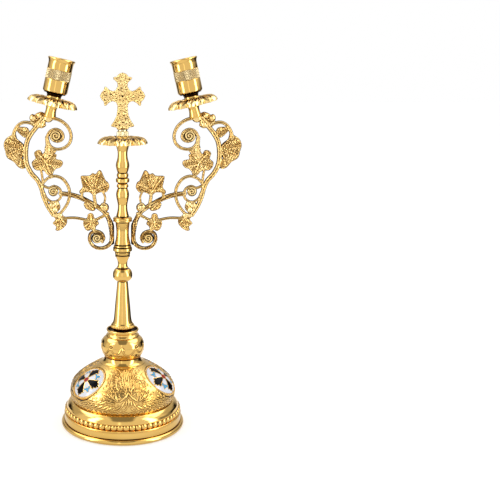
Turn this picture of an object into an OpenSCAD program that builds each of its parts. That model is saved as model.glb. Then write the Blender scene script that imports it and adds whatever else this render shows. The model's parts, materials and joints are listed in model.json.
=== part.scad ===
// Two-branch table candelabrum: a lift-out handle with two cast vine arms, on a domed round foot.
// Millimetres. +Z is up, and the origin is the middle of the resting circle under the foot.
// The arms spread along X, so the front is -Y.

/* [Foot] */
// Radius of the rolled bead that the foot stands on
foot_r = 64.3; // [60:0.1:68]
// Radius of the rolled bead's own section
foot_bead_r = 2.7; // [2.2:0.1:3]
// Widest radius of the dome
dome_r = 54.4; // [52:0.1:55]
// How far the ornament of the foot is turned from square, in degrees
foot_turn = 6.5; // [-60:0.5:60]
// Radius of an enamelled medallion
medallion_r = 18.2; // [15:0.1:18.6]
// Tilt of a medallion's face from upright, in degrees
medallion_tilt = 50; // [46:1:54]

/* [Handle] */
// Radius of the round spigot under the handle
spigot_r = 6.5; // [5.5:0.1:7]
// Length of the spigot in its socket
spigot_len = 28; // [20:1:29]
// Radius of the threaded rod through the handle
rod_r = 2.5; // [2:0.1:2.6]
// Radial clearance of sliding and threaded fits
fit_gap = 0.05; // [0.03:0.01:0.08]

/* [Arms] */
// Thickness of the cast vine arms
arm_t = 5; // [4:0.5:6]

/* [Candle cups] */
// Bore radius of a candle cup
cup_bore_r = 11.2; // [10.5:0.1:11.4]
// Outside radius of a candle cup
cup_r = 12.3; // [12.1:0.1:12.6]
// Height of a candle cup
cup_h = 34.3; // [30:0.1:36]
// Lean of the candle cups towards the middle, in degrees
cup_lean = 13; // [11:0.5:14]
// Radius of a drip pan at its leaf tips
pan_r = 25.2; // [23:0.1:26]

/* [Cross] */
// Thickness of the cross
cross_t = 4; // [3:0.5:5]

/* [Hidden] */

brass = "#d8b45c";
dark_steel = "#8a8d90";
enamel = "#f2f2ee";

shell_t = 1.2;              // wall of the spun shells
foot_flat = 0.3;            // depth of the flat under the bead
hub_ring_r = 9.8;           // rings of the sleeve that the arms are brazed to
rod_hole_r = rod_r + fit_gap;
tie_r = 3;                  // tie rod in the foot
dome_top_z = 67.2;          // the flat land the collar stands on
tube_r = 9.2;               // outside of the socket tube
seat_z = 103;               // where the handle rests on the foot
socket_end_z = 66;          // bottom of the socket tube
sleeve_z = 179;             // underside of the arms' sleeve
sleeve_top_z = 220;
baluster_top_z = 293.5;
pan_h = 7.6;                // height of a drip pan
centre_pan_top_z = 301;
nut_top_z = 307.6;

// The candle axis of the right arm: a point on it, and the places along it, all measured from there.
axis_x = 68.9;
axis_z = 333.9;
post_foot_s = -15;
pan_seat_s = -2.2;
pan_top_s = 4.4;
cup_foot_s = 9.4;
cup_floor = 3;
stud_top_s = cup_foot_s + cup_floor;

// A medallion's middle, on a circle round the foot
medallion_ring_r = 41.9;
medallion_z = 52.2;

// ---- outlines ----

// One point of a Catmull-Rom curve, after point i of list p, at t from 0 to 1
function curve_point(p, i, t) =
    let (n = len(p), a = p[max(i - 1, 0)], b = p[i], c = p[min(i + 1, n - 1)], d = p[min(i + 2, n - 1)])
    0.5 * ((2 * b) + (c - a) * t + (2 * a - 5 * b + 4 * c - d) * t * t + (3 * b - a - 3 * c + d) * t * t * t);

// A smooth line through the points of p, with k steps between neighbours
function smooth(p, k = 5) =
    concat([for (i = [0:len(p) - 2], j = [0:k - 1]) curve_point(p, i, j / k)], [p[len(p) - 1]]);

// A smooth closed line through the points of p
function smooth_loop(p, k = 4) =
    let (n = len(p), q = concat([p[n - 1]], p, [p[0], p[1]]))
    [for (i = [1:n], j = [0:k - 1]) curve_point(q, i, j / k)];

// The line p moved d to its left
function moved(p, d) =
    let (m = len(p) - 1)
    [for (i = [0:m]) let (v = p[min(i + 1, m)] - p[max(i - 1, 0)], u = v / norm(v)) p[i] + d * [-u[1], u[0]]];

function reversed(p) = [for (i = [len(p) - 1:-1:0]) p[i]];

// A spiral round c, from radius r0 at angle a0 to radius r1 at angle a1
function spiral(c, r0, a0, r1, a1, n = 24) =
    [for (i = [0:n]) let (t = i / n, r = r0 + (r1 - r0) * t, a = a0 + (a1 - a0) * t) c + r * [cos(a), sin(a)]];

// A turned solid with the outline p, from its lowest point up, closed to the axis or to a bore
module turned(p, bore = 0) {
    low = p[0][1];
    high = p[len(p) - 1][1];
    rotate_extrude($fn = 96) polygon(concat([[bore, low]], p, [[bore, high]]));
}

// A spun shell with the outside p and wall t
module spun(p, t = shell_t) {
    rotate_extrude($fn = 96) polygon(concat(p, reversed(moved(p, t))));
}

// A vine strand along p, of width w, with rounded ends
module strand(p, w, k = 5) {
    line = smooth(p, k);
    polygon(concat(moved(line, w / 2), reversed(moved(line, -w / 2))));
    for (e = [line[0], line[len(line) - 1]]) translate(e) circle(d = w, $fn = 16);
}

module leaf(p) polygon(smooth_loop(p));

// ---- foot ----

module foot() {
    band = [[61.2, 4.6], [60.6, 12.4], [61, 13.3], [60.4, 14.3], [58, 14.6], [58, 19.2]];
    moulding = smooth([[58.6, 19.4], [57.9, 22], [55.8, 25], [52.6, 27.8]], 4);
    color(brass) {
        spun(concat(band, moulding, [[46, 27.8]]));
        rotate_extrude($fn = 128) intersection() {
            translate([foot_r - foot_bead_r, foot_bead_r - foot_flat]) circle(foot_bead_r, $fn = 32);
            translate([foot_r - 10, 0]) square(20);
        }
    }
}

module gadroon_ring() {
    color(brass) rotate_extrude($fn = 128) difference() {
        translate([58.6, 16.9]) circle(2.25, $fn = 32);
        translate([50, 10]) square([8.05, 20]);
    }
}

dome_line = smooth([[52.4, 27.9], [53.7, 30.5], [dome_r, 35], [dome_r - 0.2, 39.5], [53, 44.4], [50.2, 48.8],
                    [46, 52.9], [40.6, 57], [34, 61.2], [28, 64.8], [23.6, dome_top_z]], 3);

// Places a child at medallion i, with +Z along the medallion's axis
module at_medallion(i) {
    rotate([0, 0, foot_turn - 30 + 120 * i]) translate([medallion_ring_r, 0, medallion_z])
        rotate([0, 90 - medallion_tilt, 0]) children();
}

module dome() {
    color(brass) difference() {
        spun(concat(dome_line, [[19.4, dome_top_z]]));
        for (i = [0:2]) at_medallion(i) translate([0, 0, -14]) cylinder(r = medallion_r + 0.85, h = 34, $fn = 64);
    }
}

module collar() {
    line = smooth([[23.6, dome_top_z + fit_gap], [21.8, 68.2], [19.8, 70.4], [18.6, 73.4]], 4);
    color(brass) turned(line, 16.6);
}

module knob() {
    line = smooth([[18.4, 73.5], [20.6, 77], [21.8, 82], [22, 86.8], [21, 91.2], [17.6, 95.4]], 4);
    color(brass) turned(line, tube_r + fit_gap);
}

module socket_ring() {
    line = [[17.2, 95.5], [16.6, 97.4], [16, 98.2], [15.2, 99.4], [15.7, 100.6], [16, 102.2], [15.7, 103],
            [15.1, 103.2], [14.6, 102.6], [14.3, 99.4]];
    color(brass) turned(line, tube_r + fit_gap);
}

module socket_tube() {
    color(brass) difference() {
        translate([0, 0, socket_end_z]) cylinder(r = tube_r, h = seat_z - socket_end_z, $fn = 64);
        translate([0, 0, seat_z - spigot_len - 1]) cylinder(r = spigot_r + fit_gap, h = spigot_len + 2, $fn = 64);
        translate([0, 0, socket_end_z - 1]) cylinder(r = tie_r + fit_gap, h = 20, $fn = 48);
    }
}

module tie_rod() {
    color(dark_steel) translate([0, 0, 1]) cylinder(r = tie_r, h = socket_end_z + 6, $fn = 48);
}

module tie_nut() {
    color(dark_steel) difference() {
        translate([0, 0, 1.2]) cylinder(r = 6.4, h = 3.2, $fn = 6);
        cylinder(r = tie_r + fit_gap, h = 10, $fn = 48);
    }
}

module disc(r, z, h, hole) {
    difference() {
        translate([0, 0, z]) cylinder(r = r, h = h, $fn = 96);
        translate([0, 0, z - 1]) cylinder(r = hole, h = h + 2, $fn = 48);
    }
}

module bottom_plate() color(dark_steel) disc(58.8, 4.4, 1.6, tie_r + fit_gap);

module ballast() color("#55585a") disc(50, 6, 9, tie_r + fit_gap);

module felt_pad() color("#4a1c20") disc(57.5, 2.6, 1.8, 8);

module bezel(i) {
    color(brass) at_medallion(i) difference() {
        translate([0, 0, -9]) cylinder(r = medallion_r + 0.8, h = 9.6, $fn = 64);
        translate([0, 0, -1.6]) cylinder(r = medallion_r, h = 4, $fn = 64);
        translate([0, 0, -10]) cylinder(r = medallion_r - 1.5, h = 7.4, $fn = 64);
    }
}

module bezel_right() bezel(0);
module bezel_back() bezel(1);
module bezel_left() bezel(2);

module medallion(i) {
    rise = 6;
    ball_r = (medallion_r * medallion_r + rise * rise) / (2 * rise);
    color(enamel) at_medallion(i) {
        translate([0, 0, -1.6]) cylinder(r = medallion_r, h = 1.6, $fn = 64);
        intersection() {
            translate([0, 0, rise - ball_r]) sphere(ball_r, $fn = 96);
            translate([0, 0, -0.2]) cylinder(r = medallion_r, h = rise + 1, $fn = 64);
        }
    }
}

module medallion_right() medallion(0);
module medallion_back() medallion(1);
module medallion_left() medallion(2);

// ---- handle ----

module handle_cone() {
    flange = [[10.4, seat_z], [10.4, 104], [12.3, 104.3], [12.3, 107.4], [11, 108.6]];
    taper = smooth([[9.7, 111.2], [9.1, 114], [7.6, 130], [6.3, 144], [5.7, 151.6]], 4);
    color(brass) difference() {
        union() {
            turned(concat(flange, taper));
            translate([0, 0, seat_z - spigot_len]) cylinder(r = spigot_r, h = spigot_len + 0.5, $fn = 64);
        }
        translate([0, 0, 60]) cylinder(r = rod_hole_r, h = 100, $fn = 48);
    }
}

module handle_ball() {
    line = smooth([[5.7, 151.6], [8.2, 153.8], [9.7, 157.4], [9.8, 161], [8.6, 165], [5.6, 168]], 4);
    color(brass) turned(line, rod_hole_r);
}

module handle_neck() {
    line = smooth([[5.6, 168], [4.6, 170], [4.5, 174], [5.4, 176.6], [6.4, sleeve_z]], 4);
    color(brass) turned(line, rod_hole_r);
}

module hub_sleeve() {
    step = [[6.6, sleeve_z], [7.4, 184.2], [hub_ring_r, 185.2], [hub_ring_r, 188.6], [9.2, 190]];
    waist = smooth([[8.4, 191.4], [6.9, 197], [6.3, 205], [7.4, 214.4]], 4);
    color(brass) turned(concat(step, waist, [[hub_ring_r, 216], [hub_ring_r, 219], [9.2, sleeve_top_z]]), rod_hole_r);
}

module centre_rod() {
    color(dark_steel) translate([0, 0, seat_z - spigot_len + 2])
        cylinder(r = rod_r, h = nut_top_z - 1.6 - (seat_z - spigot_len + 2), $fn = 48);
}

module baluster() {
    lower = smooth([[7, sleeve_top_z], [6.2, 222.5], [5.2, 227], [4.8, 232], [6.2, 239], [6.6, 243], [5.8, 247],
                    [4.8, 249.4]], 3);
    rings = [[5.6, 250.4], [5.7, 252.8], [5, 253.6], [5, 254.6], [6.7, 255.6], [6.7, 259], [5.1, 259.8],
             [5.8, 261], [5.8, 263.6], [5, 264.8]];
    upper = smooth([[6.2, 268], [6.8, 272], [6, 277], [5, 281], [4.9, 284], [5.6, 288], [7, baluster_top_z]], 3);
    color(brass) turned(concat(lower, rings, upper), rod_hole_r);
}

// ---- vine arms ----

// The right arm's casting, flat in X and Z
module arm_outline() {
    // main stem, from the bud under the pan down to the corner leaf
    strand([[78, 319], [85.5, 310], [91, 303], [95, 295], [96.5, 284], [95.5, 273], [91, 264], [85, 257]], 5);
    strand([[87, 259.5], [81.5, 252], [79.5, 243], [75.5, 232], [69, 222]], 5);
    // upper scroll and its coil
    strand([[73, 319.5], [63, 317], [55, 311], [51, 302], [52.5, 294.5], [58, 289.6], [65, 288.3], [71, 290.5],
            [74, 296], [74.5, 301], [71, 306], [65, 307.6], [60, 304.5], [58.8, 300], [61, 296.8], [65, 296]], 3.4);
    translate([66, 301.2]) circle(5.6, $fn = 32);
    strand([[75, 299], [74.5, 290], [76, 280]], 5);
    // inner leaf with five lobes, and its stems
    leaf([[76, 288], [79, 283], [84, 288], [88.5, 285], [87, 279], [90.5, 274], [88, 268], [82.5, 267], [79, 270],
          [75, 264], [70, 262], [68.5, 267], [70, 270.5], [63, 269.5], [59.5, 274], [62, 277.5], [66.5, 279],
          [66, 284], [63, 288], [69, 287]]);
    strand([[82, 270], [80.5, 262], [80, 255]], 3);
    strand([[79, 270], [76, 264], [72, 261]], 3);
    // outer tendril and folded leaf
    strand([[88, 313.5], [97, 314.5], [103, 311.5], [107, 306], [109, 300]], 3.6);
    strand([[105, 308.5], [98, 304], [93, 302]], 4);
    leaf([[107, 304], [112, 301], [117, 297.5], [118.5, 291], [117, 286], [111, 281.5], [107.5, 273.5],
          [101.5, 268.5], [97.5, 270], [97, 280], [98, 292], [101, 295.5], [105, 299]]);
    // lower scroll, its coil and the bud lumps under it
    strand([[80, 254], [75, 259], [67.5, 261.3], [60, 258.5], [54.5, 251], [53, 244], [54.5, 235.5], [58, 229.5],
            [62.5, 223.5]], 3.4);
    strand([[80, 251], [74, 249.5], [68, 251], [63, 248], [61.5, 242.5], [64.5, 237], [70, 235]], 3);
    translate([69.5, 245.6]) circle(4.4, $fn = 32);
    strand([[79, 245], [76, 238.5], [70.5, 234.6]], 3);
    leaf([[74.5, 234], [67, 236.5], [62.5, 231], [64, 225], [60, 221], [56, 216.5], [58, 211], [62, 207],
          [67, 205.5], [69, 211], [68, 217], [71, 222], [73.5, 227]]);
    // lower branch to the elbow, and down beside the sleeve
    strand([[62, 243.6], [55, 243], [48, 241.5], [40, 238.5], [31, 233.5], [24, 229.5], [18, 224.5], [13.5, 217],
            [11.4, 208], [10.8, 199], [12.2, 192.5], [17.5, 188.3], [24, 187.4], [30, 190.5]], 5);
    translate([18.5, 229.5]) circle(4.9, $fn = 24);
    strand([[29, 189.5], [33, 194.5], [33.2, 200.5], [28.5, 205], [22.5, 204], [19, 199.5], [20.5, 194.6]], 3.6);
    translate([25.8, 198.4]) circle(5.4, $fn = 32);
    // big leaf over the branch
    leaf([[28.5, 240], [23.5, 243], [20, 245], [15.5, 245.5], [13, 250], [15.5, 255.5], [18.5, 257.5],
          [19.5, 263], [23, 267.5], [27, 264.5], [29.5, 260.3], [33.5, 262.2], [41.5, 261.5], [41, 256],
          [39, 250], [43.5, 246], [41, 243], [35, 245.5]]);
    strand([[29, 244], [28, 238], [27, 232]], 4);
    strand([[40, 245], [41, 240]], 4);
    strand([[20, 246], [18, 240], [18.5, 234]], 3);
    // second strand and its three-lobed leaf
    strand([[15, 223.5], [20, 220.5], [27, 217], [32, 216]], 3.4);
    leaf([[29, 219], [30, 223.5], [34, 223.5], [36, 219.5], [39.5, 215], [38.5, 210], [35, 205.6], [31.5, 206.5],
          [28, 208.5], [24.5, 211], [24.5, 214.5]]);
    strand([[35, 215.5], [41, 217.8], [49, 219], [60, 218.6]], 3.4);
    strand([[29, 210], [28, 205]], 3.4);
}

// Everything of the hub that the arms stand clear of
module hub_space() {
    turned([[hub_ring_r, 180], [hub_ring_r, 191], [8.5, 192], [8.5, 213.6], [hub_ring_r, 214.6], [hub_ring_r, 228]]);
}

module arm(side) {
    color(brass) difference() {
        scale([side, 1, 1]) rotate([90, 0, 0]) linear_extrude(arm_t, center = true)
            offset(r = -0.4) offset(delta = 0.4) arm_outline();
        hub_space();
        at_cup(side) translate([0, 0, post_foot_s]) cylinder(r = 12, h = 20, $fn = 32);
    }
}

module arm_left() arm(-1);
module arm_right() arm(1);

// ---- candle cups ----

// Places a child on the candle axis of one arm, with +Z along the axis
module at_cup(side) {
    translate([side * axis_x, 0, axis_z]) rotate([0, -side * cup_lean, 0]) children();
}

module post(side) {
    line = smooth([[5.5, post_foot_s], [6.2, -12.5], [4.6, -9], [4.4, -6], [6.6, pan_seat_s]], 4);
    color(brass) at_cup(side) turned(line, rod_hole_r);
}

module post_left() post(-1);
module post_right() post(1);

module stud(side) {
    color(dark_steel) at_cup(side) translate([0, 0, post_foot_s + 1])
        cylinder(r = rod_r, h = stud_top_s - post_foot_s - 1.2, $fn = 48);
}

module stud_left() stud(-1);
module stud_right() stud(1);

// A pan with a raised ring round its middle and a rim that falls away, standing on z = 0
module pan(hole) {
    top = smooth([[9, 5.6], [13, pan_h], [18, 6.9], [22, 4.6], [pan_r, 0.4]], 4);
    under = smooth([[pan_r - 1.2, 0], [20.6, 3.4], [16, 4.4], [11, 3.6], [7.6, 0.6]], 4);
    rotate_extrude($fn = 96) polygon(concat([[hole, 5.6]], top, under, [[7.6, 0], [hole, 0]]));
}

module drip_pan(side) {
    color(brass) at_cup(side) translate([0, 0, pan_seat_s]) pan(rod_hole_r);
}

module drip_pan_left() drip_pan(-1);
module drip_pan_right() drip_pan(1);

module cup_collar(side) {
    line = smooth([[7.2, pan_seat_s + 5.6], [7.9, pan_seat_s + 7.4], [7.3, pan_seat_s + 9.4], [7.9, cup_foot_s]], 3);
    color(brass) at_cup(side) turned(line, rod_hole_r);
}

module cup_collar_left() cup_collar(-1);
module cup_collar_right() cup_collar(1);

module cup(side) {
    side_line = [[8, 0], [11, 0], [12, 0.3], [cup_r, 0.8], [cup_r, cup_h - 2.2], [cup_r + 0.9, cup_h - 1.6],
                 [cup_r + 0.9, cup_h - 0.5], [cup_r + 0.4, cup_h]];
    color(brass) at_cup(side) translate([0, 0, cup_foot_s]) difference() {
        turned(side_line);
        translate([0, 0, cup_floor]) cylinder(r = cup_bore_r, h = cup_h, $fn = 64);
        translate([0, 0, -1]) cylinder(r = rod_hole_r, h = cup_floor + 2, $fn = 48);
    }
}

module cup_left() cup(-1);
module cup_right() cup(1);

// ---- top of the middle ----

module centre_pan() {
    color(brass) translate([0, 0, baluster_top_z]) pan(rod_hole_r);
}

module finial_nut() {
    foot_z = baluster_top_z + 5.6;
    line = smooth([[4.8, foot_z], [5.7, foot_z + 1.6], [5.9, foot_z + 4], [5.7, foot_z + 6.8], [4.8, nut_top_z]], 3);
    color(brass) difference() {
        turned(line);
        translate([0, 0, foot_z - 1]) cylinder(r = rod_hole_r, h = nut_top_z - foot_z - 0.6, $fn = 48);
    }
}

// Half of the cross's outline, from its foot to its top
module cross_half() {
    polygon([[0, nut_top_z], [5, nut_top_z], [5, 310], [11, 310.6], [8.6, 316], [6, 321], [5.2, 327], [5.2, 332],
             [7, 335.6], [10, 335.6], [14, 333.6], [17, 330.8], [18.6, 334], [22.5, 340.4], [18.6, 346.6],
             [17, 349.6], [14, 347], [10, 345], [6.6, 345], [4.6, 349], [5, 353], [9.2, 357.6], [6.4, 359],
             [4, 361], [0, 363.4]]);
}

module cross() {
    color(brass) rotate([90, 0, 0]) linear_extrude(cross_t, center = true)
        offset(r = 0.4) offset(delta = -0.4) for (side = [0, 1]) mirror([side, 0]) cross_half();
}

foot();
gadroon_ring();
dome();
collar();
knob();
socket_ring();
socket_tube();
tie_rod();
tie_nut();
ballast();
bottom_plate();
felt_pad();
bezel_right();
bezel_back();
bezel_left();
medallion_right();
medallion_back();
medallion_left();
handle_cone();
handle_ball();
handle_neck();
hub_sleeve();
centre_rod();
baluster();
arm_left();
arm_right();
post_left();
post_right();
stud_left();
stud_right();
drip_pan_left();
drip_pan_right();
cup_collar_left();
cup_collar_right();
cup_left();
cup_right();
centre_pan();
finial_nut();
cross();
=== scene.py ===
import json
import math

import bpy
import numpy as np
from mathutils import Matrix, Vector


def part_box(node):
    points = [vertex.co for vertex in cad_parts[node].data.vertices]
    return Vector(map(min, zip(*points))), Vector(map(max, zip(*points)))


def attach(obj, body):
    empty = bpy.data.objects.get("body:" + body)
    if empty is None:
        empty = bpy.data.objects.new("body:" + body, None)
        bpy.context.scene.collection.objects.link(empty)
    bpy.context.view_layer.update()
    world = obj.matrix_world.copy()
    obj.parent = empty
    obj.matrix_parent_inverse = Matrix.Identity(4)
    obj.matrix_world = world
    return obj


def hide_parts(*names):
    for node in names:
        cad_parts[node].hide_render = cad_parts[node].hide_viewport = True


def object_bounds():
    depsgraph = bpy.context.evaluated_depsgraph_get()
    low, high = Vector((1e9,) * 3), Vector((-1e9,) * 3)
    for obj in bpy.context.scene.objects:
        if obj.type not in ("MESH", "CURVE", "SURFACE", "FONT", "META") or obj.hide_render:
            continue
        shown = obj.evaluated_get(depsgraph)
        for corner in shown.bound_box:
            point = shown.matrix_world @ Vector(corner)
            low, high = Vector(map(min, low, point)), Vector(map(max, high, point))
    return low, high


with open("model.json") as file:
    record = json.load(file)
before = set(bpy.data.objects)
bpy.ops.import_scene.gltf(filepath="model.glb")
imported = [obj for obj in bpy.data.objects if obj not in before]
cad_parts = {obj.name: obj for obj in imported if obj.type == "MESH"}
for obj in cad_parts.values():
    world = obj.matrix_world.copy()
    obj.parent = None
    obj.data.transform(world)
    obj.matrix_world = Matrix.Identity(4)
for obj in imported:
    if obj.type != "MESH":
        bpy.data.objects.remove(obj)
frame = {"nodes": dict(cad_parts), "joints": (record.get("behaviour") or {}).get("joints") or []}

CAD_BOX = [[float(v) for v in corner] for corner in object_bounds()]
MM = 0.001
SCENE = bpy.context.scene

# Sizes and counts in millimetres and degrees
FOOT_TURN = 6.5
GADROONS = 60
MEDALLION_TILT = 50
MOTIF_SCALE = 1.09
WIRE_R = 0.24
BEZEL_BEADS = 76
KNOB_SECTOR = 72
KNOB_DOT_Z = 88.4
FLANGE_BEADS = 36
LEAVES = 14
CANDLE_R = 11.2
GRIP_LOW, GRIP_HIGH = 13.5, 23.3
KNURLS = 60
KNURL_PITCH = 1.3
NUT_RIBS = 36

# Half thicknesses of the arms' castings
STRAND = 2.5
THIN = 2.1
LEAF = 2.6

# The camera, in metres, degrees and millimetres
CAMERA_AT = (0, -0.9352, 0.3864)
CAMERA_DOWN = 12.11
LENS = 67.7
SHIFT = 0.2548


# --- outlines

def rows_of(*parts):
    """Parts joined as rows of two; a part is rows already, or a plain run of numbers."""
    return np.concatenate([np.reshape(np.asarray(part, float), (-1, 2)) for part in parts])


def run_of(line):
    """How far along a line each of its points is."""
    return np.concatenate([[0], np.cumsum(np.linalg.norm(np.diff(line, axis=0), axis=1))])


def turn(count):
    """The angles of count equal steps round a full turn."""
    return np.linspace(0, 2 * np.pi, count, endpoint=False)


def smooth(points, steps=6, closed=False):
    """A Catmull-Rom line through points, as an array of rows."""
    p = rows_of(points)
    n = len(p)
    out = []
    for i in range(n if closed else n - 1):
        a, b, c, d = ((p[(i + k) % n] if closed else p[min(max(i + k, 0), n - 1)]) for k in (-1, 0, 1, 2))
        for t in np.arange(steps) / steps:
            out.append(0.5 * (2 * b + (c - a) * t + (2 * a - 5 * b + 4 * c - d) * t**2
                              + (3 * b - a - 3 * c + d) * t**3))
    if not closed:
        out.append(p[-1])
    return np.array(out)


def evenly(line, step):
    """The same line with points about step apart."""
    run = run_of(line)
    at = np.linspace(0, run[-1], max(2, int(round(run[-1] / step)) + 1))
    return np.stack([np.interp(at, run, column) for column in line.T], axis=1)


def filled(points, share=0.8):
    """A leaf's outline with its deepest notches moved out towards the lobes beside them."""
    p = rows_of(points)
    middle = p.mean(axis=0)
    r = np.linalg.norm(p - middle, axis=1)
    before = np.maximum(np.roll(r, 1), np.roll(r, 2))
    after = np.maximum(np.roll(r, -1), np.roll(r, -2))
    wanted = np.maximum(r, share * np.minimum(before, after))
    return middle + (p - middle) * (wanted / r)[:, None]


def spiral(centre, r0, a0, r1, a1, count=40):
    """Points of a spiral round centre, from radius r0 at a0 degrees to r1 at a1."""
    t = np.linspace(0, 1, count)
    r = r0 + (r1 - r0) * t
    a = np.radians(a0 + (a1 - a0) * t)
    return np.stack([centre[0] + r * np.cos(a), centre[1] + r * np.sin(a)], axis=1)


# --- meshes

def new_object(name, verts, faces, finish, body, smooth_angle, hollow):
    """A mesh object in metres from points in millimetres, riding on a body. hollow is 1 in its deep corners, and
    sets how much shade is painted there.
    """
    mesh = bpy.data.meshes.new(name)
    mesh.from_pydata((verts * MM).tolist(), [], faces)
    layer = mesh.attributes.new("hollow", "FLOAT", "POINT")
    layer.data.foreach_set("value", np.asarray(hollow, np.float32))
    mesh.validate()
    mesh.update()
    obj = bpy.data.objects.new(name, mesh)
    SCENE.collection.objects.link(obj)
    material, slot = finish
    mesh.materials.append(material)
    mesh.shade_smooth()
    mesh.set_sharp_from_angle(angle=math.radians(smooth_angle))
    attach(obj, body)
    return obj


def ring_faces(m, n):
    """Quads between m rings of n points each."""
    i, j = np.arange(m - 1)[:, None] * n, np.arange(n)[None, :]
    k = (j + 1) % n
    return np.stack([i + j, i + k, i + n + k, i + n + j], axis=-1).reshape(-1, 4).tolist()


def moved(points, matrix):
    m = np.array(matrix)
    return points @ m[:3, :3].T + m[:3, 3]


class Build:
    """Collects vertices and faces of one piece, which may have several closed shells."""

    def __init__(self):
        self.verts = []
        self.faces = []
        self.hollow = []
        self.count = 0

    def add(self, verts, faces, hollow):
        base = self.count
        self.verts.append(verts)
        self.hollow.append(hollow)
        self.faces.extend([tuple(base + i for i in f) for f in faces])
        self.count += len(verts)

    def grid(self, points, ends="cap", hollow=0):
        """A tube of rings, points[ring, step]. Its ends are capped on the axis, or join each other."""
        m, n = points.shape[:2]
        last = (m - 1) * n
        verts = points.reshape(-1, 3)
        deep = np.broadcast_to(hollow, (m, n)).ravel()
        faces = ring_faces(m, n)
        if ends == "join":
            faces += [(last + s, last + (s + 1) % n, (s + 1) % n, s) for s in range(n)]
        else:
            verts = np.concatenate([verts, [points[0].mean(axis=0), points[-1].mean(axis=0)]])
            deep = np.concatenate([deep, [0, 0]])
            low, high = m * n, m * n + 1
            faces += [(low, (s + 1) % n, s) for s in range(n)]
            faces += [(high, last + s, last + (s + 1) % n) for s in range(n)]
        self.add(verts, faces, deep)

    def tube(self, path, radius, sides):
        """A round wire along a closed path, whose last point is its first."""
        path = path[:-1]
        tangent = np.roll(path, -1, axis=0) - np.roll(path, 1, axis=0)
        tangent /= np.linalg.norm(tangent, axis=1)[:, None]
        side = np.cross(tangent, [0.0, 0.0, 1.0])
        side /= np.linalg.norm(side, axis=1)[:, None]
        other = np.cross(side, tangent)
        a = turn(sides)[None, :, None]
        self.grid(path[:, None] + radius * (np.cos(a) * side[:, None] + np.sin(a) * other[:, None]), "join")

    def done(self, name, finish, body, place=None, smooth_angle=40, replaces=None):
        """The piece as an object in its finish, instead of the CAD node that it replaces."""
        verts = np.concatenate(self.verts)
        if place is not None:
            verts = moved(verts, place)
        obj = new_object(name, verts, self.faces, finish, body, smooth_angle, np.concatenate(self.hollow))
        if replaces:
            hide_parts(replaces)


def outward(profile):
    """Unit normals of a profile that runs upward, pointing away from the axis."""
    step = np.gradient(profile, axis=0)
    normal = np.stack([step[:, 1], -step[:, 0]], axis=1)
    return normal / np.linalg.norm(normal, axis=1)[:, None]


def carved(profile, sides, height=0.0):
    """Rings round Z through (radius, height) rows, pushed out along their normals by height[ring, step]."""
    a = turn(sides)
    profile = np.asarray(profile, float)
    normal = outward(profile)
    height = np.zeros((len(profile), sides)) + height
    r = profile[:, :1] + normal[:, :1] * height
    z = profile[:, 1:] + normal[:, 1:] * height
    return np.stack([r * np.cos(a), r * np.sin(a), z], axis=-1)


def rounded(points, radius=0.2, steps=2):
    """A polyline with each inner corner cut by a small arc."""
    p = rows_of(points)
    out = [p[0]]
    for a, b, c in zip(p, p[1:], p[2:]):
        u, v = a - b, c - b
        cut = min(radius, 0.45 * np.linalg.norm(u), 0.45 * np.linalg.norm(v))
        s, e = b + u / np.linalg.norm(u) * cut, b + v / np.linalg.norm(v) * cut
        for t in np.linspace(0, 1, steps + 1):
            out.append((1 - t) ** 2 * s + 2 * t * (1 - t) * b + t**2 * e)
    out.append(p[-1])
    return np.array(out)


def value_noise(x, y, cell, seed):
    """Smooth noise from -1 to 1 at points (x, y), with bumps about cell wide."""
    rng = np.random.default_rng(seed)
    table = rng.uniform(-1, 1, (256, 256))
    u, v = x / cell, y / cell
    i, j = np.floor(u).astype(int), np.floor(v).astype(int)
    fu, fv = u - i, v - j
    fu, fv = fu * fu * (3 - 2 * fu), fv * fv * (3 - 2 * fv)
    a, b = table[i % 256, j % 256], table[(i + 1) % 256, j % 256]
    c, d = table[i % 256, (j + 1) % 256], table[(i + 1) % 256, (j + 1) % 256]
    return (a * (1 - fu) + b * fu) * (1 - fv) + (c * (1 - fu) + d * fu) * fv


def pebbles(x, y, cell, seed):
    """Rounded grains about cell wide: 1 on top of each, 0 between them."""
    table = np.random.default_rng(seed).uniform(0.15, 0.85, (64, 64, 2))
    u, v = x / cell, y / cell
    i, j = np.floor(u).astype(int), np.floor(v).astype(int)
    best = np.full(u.shape, 9.0)
    for di in (-1, 0, 1):
        for dj in (-1, 0, 1):
            spot = table[(i + di) % 64, (j + dj) % 64]
            best = np.minimum(best, np.hypot(u - i - di - spot[..., 0], v - j - dj - spot[..., 1]))
    return np.sqrt(np.clip(1 - (best / 0.62) ** 2, 0, 1))


def blurred(field, passes):
    for _ in range(passes):
        p = np.pad(field, 1, mode="edge")
        field = (p[1:-1, 1:-1] * 4 + (p[:-2, 1:-1] + p[2:, 1:-1] + p[1:-1, :-2] + p[1:-1, 2:]) * 2
                 + p[:-2, :-2] + p[:-2, 2:] + p[2:, :-2] + p[2:, 2:]) / 16
    return field


def rim_of(inside, reach):
    """A rounded edge: 0 on the outline, 1 from reach inside it."""
    return np.sqrt(np.clip(1 - (1 - np.clip(inside / reach, 0, 1)) ** 2, 0, 1))


def distance_to(line, U, V):
    """For each point (U, V): distance to a polyline, the share of its rows where it is nearest, and the side."""
    best = np.full(U.shape, 1e3)
    part = np.zeros(U.shape)
    side = np.zeros(U.shape)
    for k, (a, b) in enumerate(zip(line, line[1:])):
        ab = b - a
        t = np.clip(((U - a[0]) * ab[0] + (V - a[1]) * ab[1]) / max(ab @ ab, 1e-9), 0, 1)
        du, dv = U - a[0] - t * ab[0], V - a[1] - t * ab[1]
        d = np.hypot(du, dv)
        near = d < best
        best = np.where(near, d, best)
        part = np.where(near, (k + t) / (len(line) - 1), part)
        side = np.where(near, np.sign(ab[0] * dv - ab[1] * du), side)
    return best, part, side


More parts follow.
